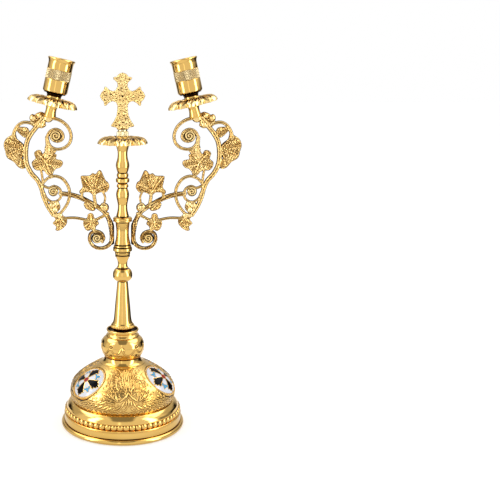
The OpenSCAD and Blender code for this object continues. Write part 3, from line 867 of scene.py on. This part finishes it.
# Each stroke: points as (degrees from the middle of a sector, millimetres up the dome), widths, height
SCROLLS = [([0, 24.6, 2.4, 21, 6, 17.6, 10, 15.2], (0.7, 1.2, 0.9), 0.55), ([0, 20.4, 1.8, 18.2, 4.4, 16], (0.4,
    0.7, 0.4), 0.3), ([10, 15.2, 13.6, 16.4, 17.6, 19.6, 21.6, 22.4], (0.9, 1.5, 0.6), 0.6), ([11.6, 15.6, 13.4,
    19, 14.6, 23.4], (0.5, 1.3, 0.4), 0.5), ([15, 17, 18.4, 20.6, 20, 24.8], (0.5, 1.3, 0.4), 0.5), ([18, 19,
    23, 21.4, 26.4, 24.6], (0.5, 1.4, 0.4), 0.5), ([15, 15.6, 21.6, 17.4, 28, 20.4], (0.5, 1.5, 0.4), 0.55),
    ([14.6, 13.6, 22, 14.4, 30, 16.6], (0.5, 1.5, 0.4), 0.55), ([0, 17.6, 0, 14, 0, 10.4], (0.6, 1.6, 0.5),
    0.5), ([2.2, 16, 2.6, 13, 3.4, 10], (0.5, 1.1, 0.4), 0.42), ([4.8, 15, 6, 12, 8, 9.4], (0.5, 1.2, 0.4),
    0.45), ([1.6, 26, 2.4, 34, 3.2, 43, 2.4, 53], (0.5, 0.6, 0.7), 0.32), ([3.6, 29, 5.6, 35, 6.6, 42, 5.4, 52],
    (0.5, 0.7, 0.6), 0.34), ([3, 26, 6.6, 29.6, 9.6, 34, 10.6, 40], (0.6, 1, 0.5), 0.42), ([6, 25, 11, 27, 14.6,
    31, 15.6, 36, 13.8, 40.4], (0.6, 1.1, 0.6), 0.48), ([15, 27.6, 19.6, 28.4, 22.4, 32, 21.6, 36.4, 18.2, 38,
    16.4, 35.4, 18.2, 33], (0.7, 1.1, 0.6), 0.5), ([12, 40.6, 15, 42.6, 19, 43.8, 27, 43.9], (0.5, 1.2, 0.5),
    0.55), ([9, 44, 10.6, 48, 14, 51.8, 21, 54.2], (0.5, 1, 0.5), 0.5), ([7, 42, 8, 46.6, 10.4, 52], (0.4, 0.8,
    0.4), 0.34), ([0, 30, 1, 34, 0, 38], (0.5, 0.8, 0.5), 0.3), ([0, 40, 0, 46, 0, 50], (0.5, 1, 0.5), 0.3),
    ([7.6, 37.4, 9, 38.6, 11.6, 38.2], (0.5, 0.9, 0.5), 0.4), ([8.4, 40, 10.6, 41.4, 12, 44], (0.4, 0.8, 0.4),
    0.35), ([23, 26, 24.6, 30, 26.4, 36, 29.6, 43], (0.5, 0.8, 0.5), 0.4),]
# slanting leaves over the foot of the dome, a second row under the medallions, and scallops along its edge
SCROLLS += [([[9 + 6.2 * k, 10.6 - 0.15 * k], [12 + 6.2 * k, 8.6], [16 + 6.2 * k, 6.6]], (0.5, 1.5, 0.4), 0.45)
            for k in range(8)]
SCROLLS += [([[2 + 6.2 * k, 9.4], [4 + 6.2 * k, 6.8], [7.4 + 6.2 * k, 4.8]], (0.4, 1.1, 0.4), 0.36)
            for k in range(9)]
SCROLLS += [([[24 + 5.4 * k, 15 - 0.5 * k], [28 + 5.4 * k, 12.6 - 0.4 * k], [33 + 5.4 * k, 11.6 - 0.4 * k]],
             (0.5, 1.4, 0.4), 0.45) for k in range(6)]
SCROLLS += [([[6 * k, 1.2], [1.4 + 6 * k, 2.9], [3 + 6 * k, 3.3], [4.6 + 6 * k, 2.9], [6 + 6 * k, 1.2]],
             (0.7, 1, 0.7), 0.5) for k in range(10)]


def flourishes(count=190):
    """Small curled cuts that fill the ground between the scrolls."""
    rng = np.random.default_rng(17)
    strokes = []
    while len(strokes) < count:
        at = np.array([rng.uniform(1, 58), rng.uniform(4, 50)])
        if at[1] > 24 and at[0] > 33:
            continue
        turn, bend, size = rng.uniform(0, 2 * np.pi), rng.uniform(-1.6, 1.6), rng.uniform(0.9, 1.7)
        line = [at + size * t * np.array([1.25 * np.cos(turn + bend * t), np.sin(turn + bend * t)])
                for t in (-1, -0.4, 0.3, 1)]
        strokes.append((line, (0.25, 0.75, 0.25), 0.32))
    return strokes


def dome_relief(run, radius, columns):
    """Heights, and painted shade for the hollows, over half a sector, as rows up the dome and columns from its
    middle to its edge.
    """
    degrees = np.linspace(0, 60, columns)
    U = radius[:, None] * np.radians(degrees)[None, :]
    V = np.repeat(run[:, None], columns, axis=1)
    field = 0.05 * pebbles(U, V, 0.9, 5)
    for points, widths, height in flourishes() + SCROLLS:
        line = smooth(points, 5)
        line = np.column_stack([np.radians(line[:, 0]) * np.interp(line[:, 1], run, radius), line[:, 1]])
        near, part, _ = distance_to(line, U, V)
        half = np.interp(part, np.linspace(0, 1, 3), widths) / 2 * 1.15
        q = np.clip(near / half, 0, 1)
        field = np.maximum(field, height * np.sqrt(1 - q**2))
        field = np.where(q < 1, field, field - 0.1 * np.exp(-(((near - half - 0.25) / 0.2) ** 2)))
    fade = np.clip(run / 0.8, 0, 1) * np.clip((run[-1] - run) / 0.8, 0, 1)
    field = field * fade[:, None]
    # painted shade: the second field darkens the ground between and beside the raised strokes
    return field, np.clip((blurred(field, 6) - field) / 0.3, 0, 0.55)


def dome():
    step, half_sector = ((0.36, 170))
    sides = half_sector * 6
    skin = evenly(DOME_OUTLINE, step)
    run = run_of(skin)
    heights, hollows = (np.tile(np.concatenate([half[:, :-1], half[:, :0:-1]], axis=1), 3)
                        for half in dome_relief(run, skin[:, 0], half_sector + 1))
    outside = carved(skin, sides, heights)
    lining = evenly((DOME_OUTLINE - 1.2 * outward(DOME_OUTLINE))[::-1], 2)
    inside = carved(np.concatenate([[[19.4, 67.2], [19.4, 66]], lining]), sides)
    hollows = np.concatenate([hollows, np.zeros((len(inside), sides))])
    points = moved(np.concatenate([outside, inside]), Matrix.Rotation(math.radians(FOOT_TURN + 30), 4, "Z"))
    for place in SEATS.values():
        at = moved(points.reshape(-1, 3), place.inverted())
        r = np.hypot(at[:, 0], at[:, 1])
        floor = -4.5 - 1.2 * (np.arange(len(at)) >= outside.size // 3)
        sunk = np.clip((BEZEL_R - 0.1 - r) / 0.6, 0, 1) * (at[:, 2] > -12)
        # painted shadow: a dark ring just outside each bezel, as the shadow of its wall
        rim = 0.8 * np.exp(-(((r - BEZEL_R - 0.2) / 0.5) ** 2)) * (at[:, 2] > -12)
        hollows = np.maximum(hollows, rim.reshape(hollows.shape))
        at[:, 2] -= np.maximum(at[:, 2] - floor, 0) * sunk
        points = moved(at, place).reshape(points.shape)
    build = Build()
    build.grid(points, "join", hollows)
    build.done("dome_chased", CHASED, "base", smooth_angle=60, replaces="dome")


# --- stem of the foot and the handle

def knob_engraving(angle, r, z):
    """Ringed dots round the knob, with a garland of thin swags hanging between them."""
    angle, r, z = np.broadcast_arrays(angle, r, z)
    degrees = np.degrees(np.mod(angle + math.radians(90 + 32), math.radians(KNOB_SECTOR)))
    field = np.zeros(degrees.shape)
    for shift in (-KNOB_SECTOR, 0, KNOB_SECTOR):
        u = np.radians(degrees - shift) * r
        d = np.hypot(u, z - KNOB_DOT_Z)
        field += 0.34 * np.exp(-(((d - 2.2) / 0.45) ** 2)) + 0.3 * np.exp(-((d / 0.6) ** 2))
        field -= 0.4 * np.exp(-(((d - 1.3) / 0.42) ** 2))
        for points in SWAGS_OF_KNOB:
            line = smooth(points, 5)
            near = distance_to(np.column_stack([np.radians(line[:, 0]) * 21, line[:, 1]]), u, z)[0]
            field += 0.26 * np.exp(-((near / 0.34) ** 2)) - 0.12 * np.exp(-(((near - 0.75) / 0.25) ** 2))
    return field * np.clip(z - 74, 0, 1) * np.clip(94.6 - z, 0, 1)


SWAGS_OF_KNOB = [[0, 85.6, 6, 82.6, 15, 81.4, 24, 83, 30, 87.4, 33, 88.6], [33, 88.6, 34, 85, 39, 81.2, 48,
    79.6, 57, 80.4, 65, 83, 72, 85.6], [36, 87.4, 38.4, 85.6, 37.4, 84], [12, 78, 20, 77.2, 28, 78], [46, 77,
    52, 76.4, 58, 77],]


def beads(count, size, low, high):
    """A carve() of count round beads between two heights."""
    middle, reach = (low + high) / 2, (high - low) / 2
    return lambda angle, r, z: (size * np.abs(np.cos(angle * count / 2)) ** 0.7
                                * np.sqrt(np.clip(1 - ((z - middle) / reach) ** 2, 0, 1)))


def stem():
    turned("collar", [16.6, 0, 23.5, 0, 23.4, 0.3, 22.3, 0.7, 21.2, 1.5, 20.2, 2.6, 19.4, 4, 18.9, 5.2, 18.7,
            6.15, 16.6, 6.15], POLISHED, "base", sides=160, hollow=True)
    side = smooth([18, 0.2, 19.4, 1.4, 20.7, 3.5, 21.9, 7, 22.4, 10.5, 22.4, 13.2, 21.9, 16, 20.7, 18.6, 18.8,
        20.6, 17.3, 21.8], 5)
    turned("knob", rows_of([9.3, 0], evenly(side, 0.3), [9.3, 21.85]), ENGRAVED, "base", sides=480,
           carve=knob_engraving, hollow=True)
    ring = [9.3, 0, 17, 0, 17.2, 0.5, 17.1, 1, 16.6, 1.7, 16, 2.3, 15.6, 2.6, 15.5, 3, 15.6, 3.4, 15.5, 3.7,
        15.6, 4.1, 16.3, 5.1, 16.7, 6.2, 16.7, 6.9, 16.3, 7.5, 15.8, 7.6, 15.4, 7.2, 15, 6.4, 14.4, 4.3, 10.7,
        4.1, 9.3, 4.1]
    # painted shade: the recess under the handle's flange is coloured black
    turned("socket_ring", rounded(ring, 0.15), POLISHED, "base", sides=160, hollow=True,
           dark=lambda r, h: (r < 15.2) & (h > 4))
    cone = rows_of([6, 0, 6.45, 0.5, 6.45, 27.9, 10.3, 28, 10.3, 28.9, 11.6, 29.3],
                   [[11.8, h] for h in np.arange(29.6, 32.4, 0.2)], [11.5, 32.5, 11.3, 33.3, 10.4, 34.4],
                   smooth([10.2, 34.6, 9.7, 36.2, 9.05, 39, 8.3, 46.6, 7.6, 55, 6.9, 62.5, 6.3, 69,
                           5.95, 73, 5.7, 76.6], 5))
    turned("handle_cone", cone, POLISHED, "handle", sides=288, carve=beads(FLANGE_BEADS, 0.5, 104.4, 107.4))
    ball = smooth([5.6, 0, 5.6, 1.8, 7.4, 2.7, 9.3, 4.8, 10, 7.6, 10, 9.8, 9.2, 12.4, 7.6, 14.7, 5.6, 16, 5.2,
        16.4], 6)
    turned("handle_ball", finish=POLISHED, body="handle", **creased(ball, (1.9, 15.6), half=0.65))
    turned("handle_neck", smooth([6, 0, 5.2, 1, 4.9, 3, 5.1, 6, 6, 8.6, 7, 11], 5), POLISHED, "handle")
    sleeve = rows_of([7, 0, 7.6, 0.3, 7.7, 1, 7.9, 3.4, 8, 5.1, 8.1, 5.5, 9.3, 6, 9.8, 6.4, 9.8, 9.4, 9.4, 9.8,
        9.5, 10.3, 9, 11.2, 8.8, 11.7, 8.9, 12.2, 8.4, 12.7], smooth([8.2, 13, 7.2, 17, 6.6, 21, 6.4, 26, 6.8,
        31, 7.3, 35.4], 4), [8.4, 36, 9.6, 36.5, 9.8, 37.2, 9.3, 37.9, 9.2, 38.3, 9.8, 38.8, 9.7, 39.8, 9.2,
        40.4, 8.4, 41])
    turned("hub_sleeve", finish=POLISHED, body="handle",
           **creased(rounded(sleeve, 0.15), (1.9, 5.6, 10.1, 12.7, 36.1)))
    shaft = rows_of(smooth([7, 0, 6.5, 1.2, 5.6, 4.6, 4.9, 8, 4.8, 12, 5.5, 16, 6.3, 19.6, 6.6, 23, 6.1, 26,
        5.2, 28.4, 4.8, 29.4], 4), [5.6, 30, 5.9, 30.8, 5.8, 32.6, 5.1, 33.4, 5, 34.6, 6.4, 35.3, 6.8, 36, 6.8,
        38.6, 6.3, 39.3, 5.1, 39.8, 5.6, 40.6, 5.9, 41.4, 5.9, 43.2, 5.5, 44.2, 5, 44.8], smooth([5.1, 45, 6,
        47.8, 6.8, 51.6, 6.4, 55, 5.4, 58.4, 4.9, 62, 5, 65.4, 5.7, 68.6, 7, 73.4], 4))
    turned("baluster", finish=POLISHED, body="handle",
           **creased(rounded(shaft), (0.7, 29.6, 34, 39.8, 44.7), half=0.6, depth=0.2))


# --- pans, cups and finial

def pan(name, body, place=None):
    """A cast saucer of drooping pointed leaves, with slanting veins and folds between them, the folds coloured dark
    as painted shade.
    """
    reach, low, high = node_span(name, place)
    a = turn(560)
    top = smooth([[3, 0.7], [9, 0.72], [13, 0.84], [18, 0.84], [22, 0.68], [24.4, 0.36], [reach, 0.05]], 8)
    under = smooth([[3, 0], [7.6, 0], [11, 0.45], [15.6, 0.62], [20.4, 0.5], [23, 0.2], [reach - 0.7, 0]], 5)

    def sheet_of(rows, relief):
        r, h = rows[:, :1], rows[:, 1:] * (high - low)
        out = np.clip((r - 8) / (reach - 8), 0, 1)
        fold = 2 * np.abs(np.mod((a + 0.16 * out) * LEAVES / (2 * np.pi), 1) - 0.5)
        ridges = np.exp(-((fold / 0.13) ** 2)) + 0.5 * np.exp(-(((fold - 0.5) / 0.12) ** 2))
        valley = np.exp(-(((1 - fold) / 0.17) ** 2)) + 0.35 * np.exp(-(((fold - 0.3) / 0.08) ** 2))
        veins = np.sin(r * 2.6 + fold * 7) * (1 - fold) * fold * 1.4
        carving = 0.5 * ridges - 1.25 * valley + 0.5 * veins
        lobe = np.sin(np.clip(out * 1.12, 0, 1) * np.pi) ** 0.6 * relief
        R = r * (1 - 0.13 * out**3 * fold**1.4)
        z = low + np.maximum(h + carving * lobe, 0.05)
        # painted shade: darker down in the folds and valleys, and a little darker all over
        dark = np.clip(0.55 - 1.5 * carving, 0, 1) * lobe + 0.05
        return np.stack([R * np.cos(a), R * np.sin(a), z], axis=-1), dark

    outer, under_dark = sheet_of(under, 0.5)
    upper, upper_dark = sheet_of(top[::-1], 1.0)
    points = np.concatenate([outer, upper])
    noise = value_noise(points[..., 0] + 40, points[..., 1] + 40, 0.9, 11)
    points[..., 2] += 0.16 * noise * np.clip((np.hypot(points[..., 0], points[..., 1]) - 8) / 3, 0, 1)
    build = Build()
    build.grid(points, "join", np.concatenate([under_dark, upper_dark]))
    build.done(name + "_leaves", CAST, body, place, smooth_angle=55, replaces=name)


def knurling(angle, z):
    """Crossed cuts that leave small pyramids."""
    u = angle * KNURLS / (2 * np.pi)
    v = z / KNURL_PITCH
    ridge = [np.abs(np.mod(w, 1) - 0.5) * 2 for w in (u + v, u - v)]
    return 0.4 * (np.minimum(*ridge) - 0.35)


def candle_holder(side, word):
    place = cup_place(side)
    post = smooth([5.4, 0, 6.2, 1.6, 5.9, 3.6, 5.4, 6, 5.3, 8.6, 5.8, 11, 7, 12.8], 5)
    turned("post_" + word, post, POLISHED, "handle", place=place)
    pan("drip_pan_" + word, "handle", place)
    ring = [6.6, 0, 7.2, 0.1, 7.7, 0.7, 7.8, 1.4, 7.3, 2, 7.2, 2.4, 7.2, 4, 7.4, 4.4, 7.9, 4.9, 7.9, 5.7, 7.3, 6]
    # painted shade: the collar's top, under the cup, is coloured dark
    turned("cup_collar_" + word, rounded(ring, 0.2, 3), POLISHED, "collar_" + word, place=place,
           dark=lambda r, h: h > 3.6)
    reach, low, high = node_span("cup_" + word, place)
    tall = high - low - 0.05
    wall = reach - 0.9
    foot_of_cup = [[2.6, 0], [8, 0], [11, 0], [wall - 2.2, 0.2], [wall - 0.9, 0.8], [wall - 0.2, 1.7], [wall,
        2.6], [wall, 3]]
    band_of_cup = [[wall, 13.2], [wall - 0.3, GRIP_LOW], [wall - 0.3, 23.2], [wall, 23.5], [wall, tall - 5.4]]
    lip = [[wall + 0.05, tall - 4.4], [wall + 0.3, tall - 3.2], [wall + 0.8, tall - 2.1], [wall + 1.25, tall - 1.3],
        [wall + 1.3, tall - 0.7], [wall + 1, tall - 0.2], [wall + 0.6, tall], [11.5, tall - 0.3]]
    bore = [[CANDLE_R, tall - 1], [CANDLE_R, 12], [CANDLE_R, 3.4], [10.8, 3], [2.6, 3]]
    # painted shade: the cup's rounded bottom edge is coloured black
    turned("cup_" + word, rounded(foot_of_cup + band_of_cup + lip + bore), POLISHED, "holder_" + word, place=place,
           hollow=True, dark=lambda r, h: (r > 7.9) & (h < 1.3))
    rows = [[wall - 0.5, low + GRIP_LOW]] + [[wall - 0.02, low + h] for h in np.arange(13.6, 23.2, 0.2)]
    rows = np.array(rows + [[wall - 0.5, low + GRIP_HIGH]])
    height = knurling(turn(768)[None, :], rows[:, 1:])
    height[[0, -1]] = 0
    build = Build()
    # painted shade in the knurl's cuts
    build.grid(carved(rows, 768, height), "join", np.clip(0.2 - height / 0.2, 0, 0.4))
    build.done("cup_knurl_" + word, KNURLED, "holder_" + word, place, smooth_angle=30)


def finial():
    def ribs(angle, r, z):
        return 0.28 * np.abs(np.cos(angle * NUT_RIBS / 2)) * np.clip(1.15 - ((z - z_nut - 4) / 3.1) ** 2, 0, 1)

    z_nut = node_span("finial_nut")[1]
    rows = [[4.9, 0], [5.2, 1], [5.4, 1.7]] + [[5.65, h] for h in np.arange(2, 6.4, 0.3)]
    rows += [[5.3, 6.7], [4.7, 7.2], [4.6, 7.7], [4.8, 8.5]]
    turned("finial_nut", rows, KNURLED, "finial", sides=360, carve=ribs)
    low, high = (np.array(c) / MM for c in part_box("cross"))
    thick = (high[1] - low[1]) / 2
    v = Relief((low[0] - 0.5, low[2] - 0.5), (high[0] + 0.5, high[2] + 0.5), 0.22)
    half = rows_of([0, 307.7, 5.6, 307.7, 6.2, 309.6, 11, 310.5, 11.6, 311.8, 8.6, 316, 6, 321.4, 5.2, 327, 5.2,
        331.6, 6.6, 334.4, 9.8, 335.4, 13.4, 334, 16.4, 330.9, 18, 331, 18.6, 335, 20.6, 336.8, 22.4, 340.4,
        20.8, 344, 18.4, 346.4, 17.6, 349.6, 16.4, 349.6, 13, 346.6, 9.6, 345.2, 6.8, 346.2, 5, 349.8, 5.2,
        353.4, 9.2, 357, 9, 358.8, 6, 359.2, 3.6, 362, 0, 363.3])
    outline = np.concatenate([half, half[-2:0:-1] * [-1, 1]])
    win, inside = v.polygon(outline)
    X, Z = v.X[win], v.Z[win]
    border = 0.3 * np.exp(-(((inside - 0.6) / 0.4) ** 2))
    pit = np.exp(-((np.hypot(X, Z - 340.4) / 0.9) ** 4))
    grains = pebbles(X, Z, 1.45, 21)
    field = np.maximum(border, 0.62 * grains + 0.16 * pebbles(X, Z, 0.8, 22) - 1.2 * pit)
    for points, width in CROSS_VINES:
        for sign in (-1, 1):
            near = distance_to(smooth(rows_of(points) * [sign, 1], 5), X, Z)[0]
            field = np.maximum(field, 0.75 * np.sqrt(np.clip(1 - (near / width) ** 2, 0, 1)))
    # painted shade: dark specks in the low ground between the grains, and in the pit at the middle
    grain_shade = np.clip(0.75 - 1.5 * grains, 0, 0.7) * (inside > 0.9)
    v.put(win, inside, (thick - 0.75 + field) * rim_of(inside, 0.7), dark=np.maximum(grain_shade, pit))
    build = Build()
    v.mesh(build, grain=0.05, cell=0.5)
    build.done("cross_cast", CAST, "finial", smooth_angle=55, replaces="cross")


CROSS_VINES = [([0, 311, 1.6, 316, -1.4, 321, 1.2, 326, -1.2, 331, 0, 336], 0.6), ([0, 313, 4, 313.4, 7.4, 313],
    0.7), ([2, 318, 4, 320.6, 3.4, 322.4], 0.6), ([0, 340.4, 5, 342.6, 10, 339, 15, 341.8, 19, 340.4], 0.6),
    ([13, 340, 15.6, 336, 16.4, 333.4], 0.7), ([13, 341, 15.6, 345, 16.4, 347.4], 0.7), ([0, 344, 1.8, 348, -1,
    352, 0, 356, 0, 360], 0.6), ([1, 355, 4, 357.4, 6.8, 357.8], 0.7), ([0, 336.6, 2.6, 338, 3.8, 340.4, 2.6,
    342.8, 0, 344.2], 0.7),]


arms()
foot()
gadroons()
medallions()
dome()
stem()
candle_holder(-1, "left")
candle_holder(1, "right")
pan("centre_pan", "centre_tray")
finial()


# --- camera, floor and light

def facing(azimuth, elevation, distance, target=(0, 0, 0.19)):
    """A place seen from the object at azimuth from the camera's side, turned to face the object."""
    a, e = math.radians(azimuth), math.radians(elevation)
    away = Vector((math.cos(e) * math.sin(a), -math.cos(e) * math.cos(a), math.sin(e)))
    return Matrix.Translation(Vector(target) + away * distance) @ away.to_track_quat("Z", "Y").to_matrix().to_4x4()


def softbox(name, azimuth, elevation, distance, wide, tall, watts):
    light = bpy.data.lights.new(name, "AREA")
    light.shape = "RECTANGLE"
    light.size, light.size_y = wide, tall
    light.energy = watts
    obj = bpy.data.objects.new(name, light)
    obj.matrix_world = facing(azimuth, elevation, distance)
    obj.visible_camera = obj.visible_glossy = False
    SCENE.collection.objects.link(obj)


def band(value, low, high, soft):
    """1 between low and high, 0 outside, with edges soft wide."""
    return np.clip((value - low) / soft + 0.5, 0, 1) * np.clip((high - value) / soft + 0.5, 0, 1)


def surround_glow(azimuth, elevation):
    """Brightness of the studio as polished metal sees it; azimuth 0 is the camera's side."""
    side = np.abs(azimuth)
    behind = np.where(azimuth < 0, azimuth + 360, azimuth)
    a, e = np.radians(azimuth), np.radians(elevation)
    across = np.cos(e) * np.sin(a)
    front = np.cos(e) * np.cos(a)
    glow = 1.04 + 0.04 * band(elevation, 40, 200, 20)

    def paint_over(mask, level):
        nonlocal glow
        glow = glow + (level - glow) * mask

    paint_over(band(behind, 100, 260, 14) * band(elevation, -10, 34, 10), 0.62)
    for start, end in ((104, 146), (214, 238)):
        paint_over(band(behind, start, end, 10) * band(elevation, -200, 12, 8), 0.015)
    paint_over(band(azimuth, 76, 112, 8) * band(elevation, -200, 12, 12), 0.34)
    paint_over(band(across, -0.31, 0.31, 0.07) * band(elevation, 38, 200, 8) * band(front, 0.0, 2, 0.1), 0.32)
    paint_over(band(side, 78, 130, 6) * band(elevation, 36, 70, 6), 4.0)
    paint_over(band(side, 54, 70, 5) * band(elevation, -26, 48, 8), 7.0)
    paint_over(band(azimuth, -8, -4.5, 2) * band(elevation, -20, 34, 8), 2.2)
    return glow


def reflected(name, build, glow):
    """A mesh in metres that shows only in reflections, with its own brightness at each point."""
    mesh = bpy.data.meshes.new(name)
    mesh.from_pydata(np.concatenate(build.verts).tolist(), [], build.faces)
    layer = mesh.color_attributes.new("glow", "FLOAT_COLOR", "POINT")
    layer.data.foreach_set("color", np.repeat(glow, 4).astype(np.float32))
    n = Nodes(name)
    n.shader(Base_Color=(0, 0, 0, 1), Specular_IOR_Level=0, Emission_Strength=1,
             Emission_Color=n.add("Attribute", "Color", attribute_name="glow"))
    n.material.cycles.emission_sampling = "NONE"
    mesh.materials.append(n.material)
    obj = bpy.data.objects.new(name, mesh)
    SCENE.collection.objects.link(obj)
    obj.visible_camera = obj.visible_diffuse = obj.visible_shadow = obj.visible_transmission = False


def surround():
    """A large ball round the object for the studio, and a disc for the pale table top it stands on."""
    az, el = np.meshgrid(np.arange(-180, 180, 2.0), np.arange(-88, 89, 2.0), indexing="ij")
    a, e = np.radians(az), np.radians(el)
    points = 3 * np.stack([np.cos(e) * np.sin(a), -np.cos(e) * np.cos(a), np.sin(e)], axis=-1)
    points[..., 2] += 0.19
    build = Build()
    build.grid(points.transpose(1, 0, 2))
    reflected("surround", build, np.concatenate([surround_glow(az, el).T.ravel(), [0.5, 0.9]]))
    radii = np.array([0.05, 0.066, 0.08, 0.11, 0.16, 0.3, 0.36, 0.44, 0.5, 0.6])
    # painted shadow: the table top's glow drops close to the foot, as its contact shadow
    level = np.array([0.7, 0.82, 0.98, 1.1, 1.14, 1.14, 1.1, 1.1, 1.0, 0.5])
    rings = carved([[radius, CAD_BOX[0][2] - 0.0004] for radius in radii], 72)
    top = Build()
    top.add(rings.reshape(-1, 3), ring_faces(*rings.shape[:2]), np.zeros(rings.size // 3))
    round_z = turn(72)
    far_side = (band(np.sin(round_z), 0.25, 2, 0.2) * band(np.abs(np.cos(round_z)), 0.36, 2, 0.15))[None, :]
    far = np.clip((radii - 0.34) / 0.1, 0, 1)[:, None]
    reflected("table_top", top, (level[:, None] * (1 - 0.97 * far * far_side)).ravel())


def studio():
    grey = (0.6, 0.6, 0.6, 1)
    white = Nodes("floor_white")
    white.shader(Base_Color=grey, Roughness=0.8, Specular_IOR_Level=0.1, Emission_Color=grey,
                 Emission_Strength=0.68)
    mesh = bpy.data.meshes.new("floor")
    mesh.from_pydata([(-6, -6, 0), (6, -6, 0), (6, 6, 0), (-6, 6, 0)], [], [(0, 1, 2, 3)])
    mesh.materials.append(white.material)
    floor = bpy.data.objects.new("floor", mesh)
    floor.location.z = CAD_BOX[0][2]
    floor.visible_glossy = False
    SCENE.collection.objects.link(floor)
    world = bpy.data.worlds.new("studio")
    world.use_nodes = True
    background = world.node_tree.nodes["Background"]
    background.inputs["Color"].default_value = (1, 1, 1, 1)
    background.inputs["Strength"].default_value = 1.0
    SCENE.world = world
    for side in (-1, 1):
        softbox(f"side_box_{side}", side * 63, 12, 1.3, 0.56, 1.2, 3)
        softbox(f"top_box_{side}", side * 100, 52, 1.4, 0.9, 0.8, 3)
    surround()
    SCENE.view_settings.view_transform = "Standard"


def camera():
    data = bpy.data.cameras.new("camera")
    data.lens = LENS
    data.sensor_width = 36
    data.shift_x = SHIFT
    obj = bpy.data.objects.new("camera", data)
    obj.location = CAMERA_AT
    obj.rotation_euler = (math.radians(90 - CAMERA_DOWN), 0, 0)
    SCENE.collection.objects.link(obj)
    SCENE.camera = obj


studio()
camera()
bpy.context.view_layer.update()
